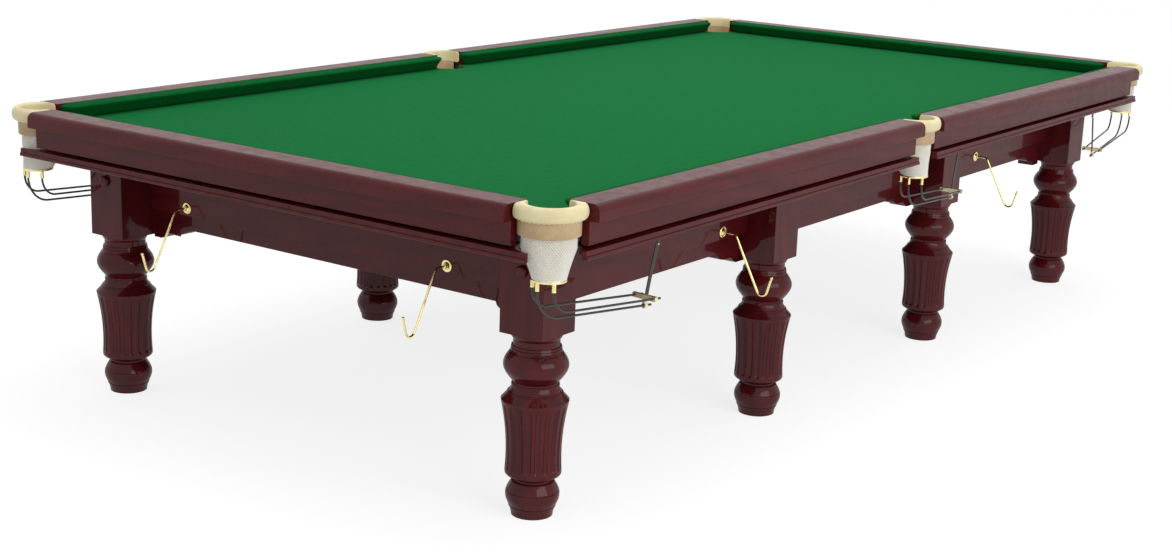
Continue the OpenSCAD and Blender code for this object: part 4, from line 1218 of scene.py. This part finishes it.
    def net_surface(self, angle: Array, share: Array, out: float) -> Array:
        """Places on the net's bag.

        Down to the waist the radius is even; below it the radius shrinks to the ring's and the centre
        moves outward by the ring's offset, both by the share of the way down, drawn in a little halfway.

        Args:
            angle: Angle round the bag, with 0 outward.
            share: Share of the way from the top edge to the ring.
            out: Distance from the middle surface.

        Returns:
            Points on the bag.
        """
        turn = np.cos(angle)
        top = self.net_top_in + (self.net_top_out - self.net_top_in) * np.clip((turn - 0.02) / 0.08, 0, 1)
        z = top + (self.ring_z - top) * share
        u = np.clip((self.net_waist - z) / (self.net_waist - self.ring_z), 0, 1)
        soft = u + 0.05 * np.sin(math.pi * u)
        r = self.net_radius + (self.ring_radius - self.net_radius) * soft + out
        return np.stack([self.ring_off * u + r * np.cos(angle), r * np.sin(angle), z], -1)

    def net(self) -> Skin:
        """The knotted bag: two families of cords that wind round it in opposite ways and cross in knots.

        Cord k of a family has the angle start + way * rows * pitch * share, and moves in and out by a
        small wave, so that it passes over and under the other family; it swells at every crossing.
        """
        pitch = TAU / self.strands
        points = 4 * self.rows + 1
        share = np.linspace(0, 1, points)
        skin = Skin()
        section = circle(1.0, 5)
        for way in (-1.0, 1.0):
            for k in range(self.strands):
                angle = k * pitch + way * self.rows * pitch * share
                wave = np.cos(math.pi * (k + 2 * self.rows * share) + (0 if way > 0 else math.pi))
                path = self.net_surface(angle, share, 0.0006 * wave)
                swell = 1.0 + 0.32 * np.cos(TAU * 2 * self.rows * share) ** 2
                skin.grid(swollen(path, section, self.strand * swell))
        skin.grid(self.hem(), wrap_rows=True)
        return skin

    def hem(self) -> Array:
        """The cord round the ring: centre + hem * (cos b * outward + sin b * up), with b round the cord."""
        a = np.linspace(0, TAU, 97)[:-1]
        radius = self.ring_radius + 0.0006
        path = np.column_stack([on_arc(radius, a) + col(self.ring_off, 0), np.full(96, self.ring_z - 0.0004)])
        out = np.stack([np.cos(a), np.sin(a), 0 * a], 1)
        return np.stack([path + self.hem_thick * (math.cos(b) * out + math.sin(b) * col(0, 0, 1))
                         for b in np.arange(8) * TAU / 8], 1)

    def build(self) -> None:
        """Makes the pads, bands, linings, stitches and nets of the six pockets."""
        pads, bands, threads = Skin(), Skin(), Skin()
        net = self.net()
        for name, corner, centre, side in PLAN.pockets():
            turn = side @ turn_z(45 if corner else 90)
            shift = side @ centre
            reach = math.radians(self.band_reach) if corner else math.asin(self.band_half / self.band_radius)
            pads.join(self.pad(corner).placed(turn, shift))
            bands.join(self.wall(0, self.band_radius, self.band_thick, reach, self.band_low, self.pad_low,
                                 self.band_wave).placed(turn, shift))
            mouth = math.radians(self.lining_reach[0 if corner else 1])
            bands.join(self.wall(self.mouth_off, self.mouth_radius + self.lining, self.lining, mouth,
                                 self.band_low, self.pad_low + 0.002, 0.0).placed(turn, shift))
            threads.join(self.stitches(reach - 0.04).placed(turn, shift))
            Piece(f"net_{name}_knotted", COTTON, "net", stands_for=(f"net_{name}",), sharp=80).make(
                net.placed(turn, shift))
        stuffed = Piece("pocket_pads_stuffed", PAD_LEATHER, "leather", stands_for=("pocket_pads",), sharp=60)
        stuffed.make(pads)
        sewn = Piece("pocket_bands_sewn", BAND_LEATHER, "leather", stands_for=("pocket_bands",), sharp=60)
        sewn.make(bands)
        Piece("pocket_stitches", THREAD, "net", sharp=80).make(threads)


@dataclass(frozen=True)
class BallRails:
    """Net rings with clip tubes, three rods below each, and the straps that hold them."""

    ring_radius: float = 0.040
    ring_wire: float = 0.0035
    ring_z: float = 0.672
    ring_off: float = 0.025
    clip_angles: tuple[float, float, float] = (180.0, 120.0, -120.0)
    clip_radius: float = 0.005
    clip_length: float = 0.022
    rod_radius: float = 0.003
    rod_z: float = 0.5755
    rod_rise: float = 0.022
    rod_half: float = 0.029
    slope: float = 4.5
    bend_low: float = 0.080
    bend_up: float = 0.055
    bracket_x: float = 0.350
    rod_over: float = 0.024
    corner_lean: float = 6.0
    middle_lean: float = 5.0
    strap_thick: float = 0.003
    strap_width: float = 0.012
    strap_slant: float = 0.042
    strap_back: float = 0.005
    stud_drop: float = 0.022
    stud_in: float = 0.0068

    def stations(self) -> list[tuple[Array, Array]]:
        """Matrix and place of each ring, with the rods running along +x."""
        made = []
        for _name, corner, centre, side in PLAN.pockets():
            if corner:
                place = centre + turn_z(45) @ col(self.ring_off, 0, 0)
                made.append((side @ turn_z(180 - self.corner_lean), side @ place))
            else:
                place = centre + col(0, self.ring_off, 0)
                made.append((side @ turn_z(-self.middle_lean), side @ place))
        return made

    def ring(self) -> Skin:
        """The ring, round in section, and three clip tubes with rolled ends."""
        a = np.arange(72) * TAU / 72
        b = np.arange(14) * TAU / 14
        r = self.ring_radius + self.ring_wire * np.cos(b)
        grid = np.stack([np.cos(a)[:, None] * r, np.sin(a)[:, None] * r,
                         np.broadcast_to(self.ring_z + self.ring_wire * np.sin(b), (72, 14))], 2)
        skin = Skin()
        skin.grid(grid, wrap_rows=True)
        z0, r0, bore = self.ring_z - self.clip_length, self.clip_radius, self.rod_radius + 0.0004
        top = self.ring_z
        lip = smooth_through([(bore, z0 + 0.001), (bore + 0.0006, z0), (r0, z0 + 0.0004),
                              (r0 + 0.0004, z0 + 0.002), (r0 - 0.0001, z0 + 0.0035)], 4)
        inside = [[0, top - 0.006], [bore, top - 0.006]]
        crown = [[r0 - 0.0001, top - 0.003], [r0 - 0.0006, top - 0.0008], [r0 - 0.0018, top + 0.0004],
                 [0, top + 0.0006]]
        clip = turned(np.concatenate([inside, lip, crown]), 20)
        for angle in self.clip_angles:
            skin.join(clip.placed(np.eye(3), turn_z(angle) @ col(self.ring_radius, 0, 0)))
        return skin

    def rod(self, x0: float, y0: float, bend: float, z0: float, turn: float) -> Skin:
        """A rod that drops from its clip, bends through an arc and runs down a slight slope."""
        slope = math.radians(self.slope)
        xe = x0 + bend * (1 - math.sin(slope))
        ze = z0 - xe * math.tan(slope)
        z1 = ze + bend * math.cos(slope)
        drop = np.stack([np.full(4, x0), np.zeros(4), np.linspace(self.ring_z - 0.008, z1 + 0.002, 4)], 1)
        a = np.linspace(0, math.pi / 2 - slope, 16)
        arc = np.stack([x0 + bend * (1 - np.cos(a)), 0 * a, z1 - bend * np.sin(a)], 1)
        run = np.linspace(0.02, 1, 8)[:, None] * col(self.bracket_x + self.rod_over - xe, 0, 0)
        run = run + col(xe, 0, ze)
        run[:, 2] -= (run[:, 0] - xe) * math.tan(slope)
        path = np.concatenate([drop, arc, run]) - col(x0, 0, 0)
        skin = wire(path, self.rod_radius, col(0, 1, 0), 12)
        return skin.placed(turn_z(turn), col(x0, y0, 0))

    def strap(self) -> Skin:
        """A flat strap from the bracket up to the moulding, bowed slightly by its own weight."""
        bar = self.rod_z + self.rod_rise - self.bracket_x * math.tan(math.radians(self.slope))
        x0 = self.bracket_x + self.strap_back
        top = PLAN.board_z
        end = self.bracket_x + self.strap_back + self.strap_slant
        half = self.strap_thick / 2
        path = smooth_through([(x0 + half, bar - 0.008), (x0 + half, bar + 0.006), (x0 + 0.012, bar + 0.05),
                               (end - 0.007, top - 0.020), (end + 0.002, top - half - 0.0006),
                               (end + 0.022, top - half)], 8)
        line = np.stack([path[:, 0], 0 * path[:, 0], path[:, 1]], 1)
        section = eased([(-half, -self.strap_width / 2, 0.0008), (half, -self.strap_width / 2, 0.0008),
                         (half, self.strap_width / 2, 0.0008), (-half, self.strap_width / 2, 0.0008)], 3)
        skin = Skin()
        skin.grid(swept(line, section, col(0, 1, 0)))
        return skin

    def stud(self) -> Skin:
        """A domed rivet through the strap, a short way below its upper bend."""
        up = PLAN.board_z - self.stud_drop
        head = np.array([(0, -0.0035), (0.0030, -0.0035), (0.0030, 0.0004), (0.0052, 0.0006),
                         (0.0046, 0.0016), (0.0026, 0.0026), (0, 0.0030)])
        x = self.bracket_x + self.strap_back + self.strap_slant - self.stud_in + self.strap_thick / 2
        return turned(head, 16).placed(Z_TO_X, col(x, 0, up))

    def build(self) -> None:
        """Makes the rings, rods, straps and studs of the six pockets."""
        rings, rods, straps, studs = Skin(), Skin(), Skin(), Skin()
        x0, y0 = -self.ring_radius / 2, self.ring_radius * math.sin(math.radians(self.clip_angles[1]))
        toe = math.degrees(math.atan((y0 - self.rod_half) / (self.bracket_x - x0)))
        set_of_rods = self.rod(-self.ring_radius, 0, self.bend_low, self.rod_z, 0)
        for s in (-1, 1):
            set_of_rods.join(self.rod(x0, s * y0, self.bend_up, self.rod_z + self.rod_rise, -s * toe))
        ring, strap, stud = self.ring(), self.strap(), self.stud()
        for turn, place in self.stations():
            rings.join(ring.placed(turn, place))
            rods.join(set_of_rods.placed(turn, place))
            straps.join(strap.placed(turn, place))
            studs.join(stud.placed(turn, place))
        Piece("net_rings_polished", BRASS, "brass", stands_for=("net_rings",), sharp=60).make(rings)
        Piece("ball_rails_coated", ROD_COAT, "rod", stands_for=("ball_rails",), sharp=60).make(rods)
        Piece("ball_rail_straps_cut", STRAP, "strap", stands_for=("ball_rail_straps",), sharp=50).make(straps)
        Piece("strap_studs", BRASS, "brass", sharp=60).make(studs)


@dataclass(frozen=True)
class Frame:
    """Beams with scalloped lower edges, overlay boards and mouldings."""

    beam_thick: float = 0.060
    end_beam_thick: float = 0.050
    beam_z: float = 0.507
    beam_low: float = 0.465
    scallop_mid: float = 0.485
    scallop_length: float = 0.120
    apron_thick: float = 0.024
    apron_z: float = 0.5565
    moulding_out: float = 0.112
    moulding_step: float = 0.003
    moulding_lip: float = 0.009
    moulding_top: float = 0.742
    moulding_cut: float = 0.080
    middle_gap: float = 0.062
    long_end: float = 1.7765
    end_end: float = 0.910
    scallop_step: float = 0.001
    scallop_shares: tuple[float, float, float] = (0.1, 0.42, 0.66)
    packing_x: tuple[float, float] = (0.150, 1.690)
    packing_y: float = 0.790
    packing_back: float = 0.001
    packing_out: float = 0.008
    fit: float = 0.0002
    ease: float = 0.0015

    def scallop(self, x: float, way: int) -> Array:
        """Lower edge of a beam beside a leg: a wave up, a short rise and a quarter round.

        Args:
            x: Centre of the leg along the beam.
            way: Side of the leg, -1 or 1.

        Returns:
            Points (place along the beam, height), in the order of growing place.
        """
        s = np.linspace(0, 1, 41)
        foot, crest, last = self.scallop_shares
        low, step, mid = self.beam_low, self.scallop_step, self.scallop_mid
        wave = low + (mid - step - low) * (1 - np.cos(math.pi * (s - foot) / (crest - foot))) / 2
        short = mid - step + step * (s - crest) / (last - crest)
        hollow = 1 - np.sqrt(np.clip(1 - ((s - last) / (1 - last)) ** 2, 0, 1))
        z = np.select([s < foot, s < crest, s < last], [np.full(41, low), wave, short],
                      mid + (self.beam_z - mid) * hollow)
        line = np.stack([x + way * (PLAN.block_half + self.scallop_length * s), z], 1)
        return line if way > 0 else line[::-1]

    def long_beam(self) -> Skin:
        """A long beam, standing on the far side."""
        x1 = PLAN.beam_x - self.end_beam_thick
        low = [self.scallop(x, way) for x in PLAN.leg_x for way in (-1, 1)]
        edge = np.concatenate(low)
        edge = edge[np.abs(edge[:, 0]) < x1]
        outline = np.concatenate([[[-x1, PLAN.slate_z], [-x1, self.beam_low]], edge,
                                  [[x1, self.beam_low], [x1, PLAN.slate_z]]])
        skin = prism([(outline, PLAN.beam_y - self.beam_thick), (outline, PLAN.beam_y)])
        return skin.placed(X_UP_BY_Y, NO_SHIFT)

    def end_beam(self) -> Skin:
        """An end beam, standing at the top end."""
        y1 = PLAN.beam_y
        edge = np.concatenate([self.scallop(-PLAN.leg_y, 1), self.scallop(PLAN.leg_y, -1)])
        outline = np.concatenate([[[-y1, PLAN.slate_z], [-y1, self.beam_low]], edge,
                                  [[y1, self.beam_low], [y1, PLAN.slate_z]]])
        skin = prism([(outline, PLAN.beam_x - self.end_beam_thick), (outline, PLAN.beam_x)])
        return skin.placed(Y_UP_BY_X, NO_SHIFT)

    def aprons(self) -> tuple[Skin, Skin]:
        """Overlay boards of the long sides and of the ends."""
        y0, y1 = PLAN.beam_y, PLAN.beam_y + self.apron_thick
        outer = PLAN.leg_x[2] + PLAN.block_half
        long_one = board((outer + self.fit, y0, self.apron_z), (PLAN.beam_x - self.fit, y1, PLAN.board_z))
        inner = PLAN.leg_x[2] - PLAN.block_half
        middle = board((-inner + self.fit, y0, self.apron_z), (inner - self.fit, y1, PLAN.board_z))
        long_side = Skin()
        for y in (-1, 1):
            long_side.join(mirrored(middle, (1,), (y,)))
            long_side.join(mirrored(long_one, ways_y=(y,)))
        end = PLAN.leg_y - PLAN.block_half - self.fit
        end_one = board((PLAN.beam_x, -end, self.apron_z),
                        (PLAN.beam_x + self.apron_thick, end, PLAN.board_z))
        return long_side, mirrored(end_one, ways_y=(1,))

    def arc(self, centre: Array, start: float, end: float) -> Array:
        """Points of the round cut beside a net, from one angle to another, in degrees."""
        a = np.radians(np.linspace(start, end, 25))
        return centre + on_arc(self.moulding_cut, a)

    def moulding_levels(self) -> list[tuple[float, float]]:
        """Outer face and height of each level of the moulding."""
        out, lip = self.moulding_out, PLAN.board_z + self.moulding_lip
        step = self.moulding_step
        return [(out - 0.0012, PLAN.board_z), (out, PLAN.board_z + 0.0012), (out, lip - 0.0008),
                (out - 0.0008, lip), (out - step, lip + 0.0006), (out - step, self.moulding_top)]

    def mouldings(self) -> Skin:
        """Mouldings round the frame, cut round at the nets and mitred at the corners."""
        corner = col(PLAN.half_length + PLAN.corner_in, PLAN.half_width + PLAN.corner_in)
        middle = col(0, PLAN.half_width + PLAN.middle_in)
        mitre = PLAN.half_length - PLAN.half_width
        rise = math.degrees(math.acos(self.middle_gap / self.moulding_cut))
        turn = math.degrees(math.acos((self.long_end - corner[0]) / self.moulding_cut))
        y0 = PLAN.beam_y
        long_loops, end_loops = [], []
        for out, z in self.moulding_levels():
            face = PLAN.half_width + out
            long_loops.append((np.concatenate([
                [[self.middle_gap, y0]], self.arc(middle, -rise, rise),
                [[self.middle_gap, face], [self.long_end, face]],
                self.arc(corner, turn, 225), [[y0 + mitre, y0]]]), z))
            face = PLAN.half_length + out
            lift = math.degrees(math.asin((self.end_end - corner[1]) / self.moulding_cut))
            far = np.concatenate([[[face, self.end_end]], self.arc(corner, lift, -135),
                                  [[PLAN.beam_x, PLAN.beam_x - mitre]]])
            end_loops.append((np.concatenate([far[::-1] * [1, -1], far])[::-1] + [0.0003, 0], z))
        long_one, end_one = prism(long_loops), prism(end_loops)
        skin = Skin()
        for x in (-1, 1):
            skin.join(mirrored(end_one, (x,), (1,)))
            skin.join(mirrored(long_one, (x,)))
        return skin

    def packing(self) -> Skin:
        """Plain packing between the frame and the slates."""
        x0, x1 = self.packing_x
        back, out = self.packing_back, self.packing_out
        one = board((x0, PLAN.beam_y + back, self.moulding_top), (x1, PLAN.half_width + out, PLAN.slate_z))
        end = board((PLAN.beam_x + back, -self.packing_y, self.moulding_top),
                    (PLAN.half_length + out, self.packing_y, PLAN.slate_z))
        skin = mirrored(end, ways_y=(1,))
        for y in (-1, 1):
            skin.join(mirrored(one, ways_y=(y,)))
        return skin

    def build(self) -> None:
        """Makes the beams, boards and mouldings."""
        long_beam, end_beam = self.long_beam(), self.end_beam()
        for name, y in (("near", -1), ("far", 1)):
            Piece(f"beam_{name}_shaped", WOOD_X, "wood", stands_for=(f"beam_{name}",), bevel=self.ease).make(
                long_beam.placed(quadrant(1, y), NO_SHIFT))
        for name, x in (("baulk", -1), ("top", 1)):
            Piece(f"beam_{name}_shaped", WOOD_Y, "wood", stands_for=(f"beam_{name}",), bevel=self.ease).make(
                end_beam.placed(quadrant(x, 1), NO_SHIFT))
        long_side, ends = self.aprons()
        for name, finish, skin in (("aprons_long", WOOD_X, long_side), ("aprons_end", WOOD_Y, ends)):
            Piece(f"{name}_faced", finish, "wood", stands_for=(name,), bevel=self.ease).make(skin)
        Piece("mouldings_stepped", WOOD_X, "wood", stands_for=("mouldings",)).make(self.mouldings())
        Piece("moulding_packing", TIMBER, "wood", bevel=0.0005).make(self.packing())


@dataclass(frozen=True)
class Hooks:
    """Brass hooks that hold the rests, with dished plates on the boards."""

    wire_radius: float = 0.00325
    pin_z: float = 0.580
    pin_out: float = 0.035
    pin_in: float = 0.020
    bend: float = 0.014
    slant: float = 28.0
    drop: float = 0.165
    bowl: float = 0.017
    tip_lean: float = 16.0
    tip: float = 0.045
    plate_radius: float = 0.017
    plate_height: float = 0.008
    board_y: float = 0.737
    board_x: float = 1.605
    baulk_y: tuple[float, float] = (0.543, -0.434)
    side_x: tuple[float, float] = (-0.753, 0.939)

    def places(self) -> dict[str, tuple[Array, Array]]:
        """Matrix and place of each hook, with its pin along +x."""
        names = ("left", "right")
        made = {f"baulk_{name}": (turn_z(180), col(-self.board_x, y, self.pin_z))
                for name, y in zip(names, self.baulk_y)}
        for side, y in (("near", -1), ("far", 1)):
            for name, x in zip(names, self.side_x):
                made[f"{side}_{name}"] = (turn_z(90 * y), col(x, y * self.board_y, self.pin_z))
        return made

    def line(self) -> Array:
        """Centre line of the wire in the x-z plane: pin, bend, slanted run, bowl and tip.

        Each arc is centre + radius * (cos, sin), and each run goes on along the arc's last direction.
        """
        a = np.radians(np.linspace(90, self.slant, 12))
        bend = col(self.pin_out, -self.bend) + on_arc(self.bend, a)
        down = math.radians(self.slant - 90)
        way = col(math.cos(down), math.sin(down))
        foot = bend[-1] + self.drop * way
        middle = foot + self.bowl * col(math.cos(down + math.pi / 2), math.sin(down + math.pi / 2))
        b = np.radians(np.linspace(180 + self.slant, 360 - self.tip_lean, 22))
        bowl = middle + on_arc(self.bowl, b)
        up = math.radians(90 - self.tip_lean)
        tip = bowl[-1] + np.linspace(0.25, 1, 4)[:, None] * self.tip * col(math.cos(up), math.sin(up))
        pin = np.stack([np.linspace(-self.pin_in, self.pin_out * 0.9, 5), np.zeros(5)], 1)
        run = bend[-1] + np.linspace(0.1, 0.95, 8)[:, None] * self.drop * way
        flat = np.concatenate([pin, bend, run, bowl, tip])
        return np.stack([flat[:, 0], 0 * flat[:, 0], flat[:, 1]], 1)

    def hook(self) -> Skin:
        """The bent wire with a ball at its tip and a collar outside the plate."""
        line = self.line()
        skin = wire(line, self.wire_radius, col(0, 1, 0), 16)
        a = np.linspace(-math.pi / 2, math.pi / 2, 13)
        ball = self.wire_radius + 0.001
        skin.join(turned(on_arc(ball, a), 20).placed(np.eye(3), line[-1]))
        r = self.wire_radius
        collar = turned(np.array([[r - 0.001, 0], [r + 0.0018, 0], [r + 0.0025, 0.0006], [r + 0.0025, 0.0014],
                                  [r + 0.0018, 0.002], [r - 0.001, 0.002]]), 24, ring=True)
        skin.join(collar.placed(Z_TO_X, col(self.plate_height + 0.0005, 0, 0)))
        return skin

    def plate(self) -> Skin:
        """A round dished plate with a raised boss round the pin."""
        r, edge, h = self.wire_radius, self.plate_radius, self.plate_height
        line = smooth_through([(edge - 0.0006, 0), (edge, 0.0008), (edge - 0.0006, 0.0022),
                               (edge - 0.0024, 0.0032), (edge - 0.0056, 0.0026), (r + 0.0072, 0.0030),
                               (r + 0.0052, h - 0.0015), (r + 0.0042, h), (r + 0.0026, h - 0.0012),
                               (r + 0.0006, h - 0.0030)], 4)
        line = np.concatenate([[[r + 0.0004, 0.0]], line, [[r + 0.0004, 0.0035]]])
        a = np.arange(40) * TAU / 40
        grid = np.stack([np.broadcast_to(line[:, 1:2], (len(line), 40)), line[:, 0:1] * np.cos(a),
                         line[:, 0:1] * np.sin(a)], 2)
        skin = Skin()
        skin.grid(grid, wrap_rows=True)
        return skin

    def build(self) -> None:
        """Makes the six hooks, each on its own body, and their plates."""
        hook, plate, plates = self.hook(), self.plate(), Skin()
        for name, (turn, place) in self.places().items():
            node = f"hook_{name}"
            piece = Piece(f"{node}_bent", BRASS, "brass", f"{node}_body", (node,), sharp=60)
            piece.make(hook.placed(turn, place))
            plates.join(plate.placed(turn, place))
        Piece("hook_plates_dished", BRASS, "brass", stands_for=("hook_plates",), sharp=60).make(plates)


@dataclass(frozen=True)
class Fittings:
    """Bolt covers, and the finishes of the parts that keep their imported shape."""

    cover_radius: float = 0.0155
    cover_height: float = 0.011
    cover_z: float = 0.643

    def covers(self) -> Skin:
        """Turned covers over the leg bolts: a narrow neck and a domed head."""
        r, h = self.cover_radius, self.cover_height
        line = smooth_through([(r - 0.003, 0), (r - 0.0042, 0.0022), (r - 0.0012, 0.0042), (r, 0.0056),
                               (r - 0.0006, h - 0.0036), (r - 0.0040, h - 0.0010), (r - 0.0085, h - 0.0001)],
                              5)
        line = np.concatenate([[[0, -0.0005], [r - 0.003, -0.0005]], line, [[0, h]]])
        one = turned(line, 40).placed(Z_TO_X, col(PLAN.leg_x[3] + PLAN.block_half, PLAN.leg_y, self.cover_z))
        return mirrored(one)

    def build(self, nodes: dict[str, bpy.types.Object]) -> None:
        """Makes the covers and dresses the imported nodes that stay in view."""
        Piece("bolt_covers_turned", WOOD_Y, "wood", stands_for=("bolt_covers",), sharp=60).make(self.covers())
        kept: list[tuple[str, Finish]] = [
            ("slates_end", SLATE), ("slates_inner", SLATE), ("slate_middle", SLATE),
            ("cushion_rubbers", RUBBER), ("pocket_irons", IRON), ("ball_rail_brackets", SATIN_BRASS),
            ("muntins", TIMBER), ("leg_bolts", STEEL), ("rail_bolts", STEEL)]
        feet = [(n, STEEL) for n in nodes if n.startswith("foot_")]
        for name, finish in [*kept, *feet]:
            nodes[name].data.materials.clear()
            nodes[name].data.materials.append(finish.material())
            log.info("%s: %s", name, finish.name)


@dataclass(frozen=True)
class Studio:
    """Camera, floor and soft lights."""

    camera_place: tuple[float, float, float] = (-5.17255, -3.43482, 1.74077)
    camera_right: tuple[float, float, float] = (0.58976, -0.80680, 0.03541)
    camera_up: tuple[float, float, float] = (0.17788, 0.17255, 0.96881)
    camera_ahead: tuple[float, float, float] = (0.78774, 0.56506, -0.24528)
    lens: float = 57.105
    floor_size: float = 40.0

    def camera(self) -> None:
        """Sets the camera at the photograph's angle."""
        data = bpy.data.cameras.new("camera")
        data.sensor_width, data.sensor_fit, data.lens = 36.0, "HORIZONTAL", self.lens
        data.clip_start, data.clip_end = 0.05, 200.0
        made = bpy.data.objects.new("camera", data)
        bpy.context.scene.collection.objects.link(made)
        axes = np.eye(4)
        axes[:3, 0], axes[:3, 1] = self.camera_right, self.camera_up
        axes[:3, 2], axes[:3, 3] = -np.array(self.camera_ahead), self.camera_place
        made.matrix_world = Matrix(axes.tolist())
        bpy.context.scene.camera = made

    def floor(self) -> None:
        """A plain pale floor that seen directly or in a reflection is nearly white, and keeps the shadow."""
        made = bpy.data.materials.new("studio_floor")
        made.use_nodes = True
        made.node_tree.nodes.clear()
        g = Graph(made.node_tree)
        plain = g.node("ShaderNodeBsdfDiffuse", {"Color": (0.80, 0.80, 0.80, 1)})
        dim = g.node("ShaderNodeBsdfDiffuse", {"Color": (0.38, 0.38, 0.38, 1)})
        glow = g.node("ShaderNodeEmission", {"Color": (1, 1, 1, 1), "Strength": 0.80})
        both = g.node("ShaderNodeAddShader", {0: dim.outputs[0], 1: glow.outputs[0]})
        seen = self.seen(g)
        mixed = g.node("ShaderNodeMixShader", {0: seen, 1: plain.outputs[0], 2: both.outputs[0]})
        g.node("ShaderNodeOutputMaterial", {"Surface": mixed.outputs[0]})
        half = self.floor_size / 2
        mesh = bpy.data.meshes.new("studio_floor")
        corners = [(-half, -half, 0), (half, -half, 0), (half, half, 0), (-half, half, 0)]
        mesh.from_pydata(corners, [], [(0, 1, 2, 3)])
        mesh.materials.append(made)
        plane = bpy.data.objects.new("studio_floor", mesh)
        bpy.context.scene.collection.objects.link(plane)

    def seen(self, g: Graph) -> Socket:
        """1 for what the camera, a reflection or clear matter sees, and 0 for light."""
        path = g.node("ShaderNodeLightPath")
        some = g.math("MAXIMUM", path.outputs["Is Camera Ray"], path.outputs["Is Glossy Ray"])
        return g.math("MAXIMUM", some, path.outputs["Is Transmission Ray"])

    def world(self) -> None:
        """Even soft light, white where it is seen."""
        made = bpy.data.worlds.new("studio")
        made.use_nodes = True
        made.node_tree.nodes.clear()
        g = Graph(made.node_tree)
        light = g.node("ShaderNodeBackground", {"Color": (1, 1, 1, 1), "Strength": 0.50})
        white = g.node("ShaderNodeBackground", {"Color": (1, 1, 1, 1), "Strength": 1.0})
        mixed = g.node("ShaderNodeMixShader", {0: self.seen(g), 1: light.outputs[0], 2: white.outputs[0]})
        g.node("ShaderNodeOutputWorld", {"Surface": mixed.outputs[0]})
        bpy.context.scene.world = made

    def lamp(self, name: str, place: Sequence[float], aim: Sequence[float], size: tuple[float, float],
             power: float) -> None:
        """A rectangular soft light.

        Args:
            name: Name of the light.
            place: Its centre.
            aim: The point it faces.
            size: Its width and height.
            power: Its power in watts.
        """
        data = bpy.data.lights.new(name, "AREA")
        data.shape, data.size, data.size_y, data.energy = "RECTANGLE", size[0], size[1], power
        made = bpy.data.objects.new(name, data)
        bpy.context.scene.collection.objects.link(made)
        ahead = np.array(aim, float) - np.array(place, float)
        ahead /= np.linalg.norm(ahead)
        side = np.cross(ahead, col(0.02, 0.01, 1))
        side /= np.linalg.norm(side)
        axes = np.eye(4)
        axes[:3, 0], axes[:3, 1], axes[:3, 2], axes[:3, 3] = side, np.cross(side, ahead), -ahead, place
        made.matrix_world = Matrix(axes.tolist())

    def build(self) -> None:
        """Sets up the studio."""
        self.camera()
        self.floor()
        self.world()
        self.lamp("top_light", (0.3, 0.0, 4.6), (0.2, 0, 0.8), (5.5, 3.5), 90)
        self.lamp("side_light", (-2.0, -6.0, 2.8), (0, 0, 0.7), (5.0, 2.5), 100)
        bpy.context.scene.view_settings.view_transform = "Standard"


def main() -> None:
    """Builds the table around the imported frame."""
    logging.basicConfig(level=logging.INFO, format="%(message)s")
    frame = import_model()
    Studio().build()
    for assembly in (Legs(), Rails(), Bed(), Pockets(), BallRails(), Frame(), Hooks()):
        assembly.build()
    Fittings().build(frame["nodes"])


if __name__ == "__main__":
    main()
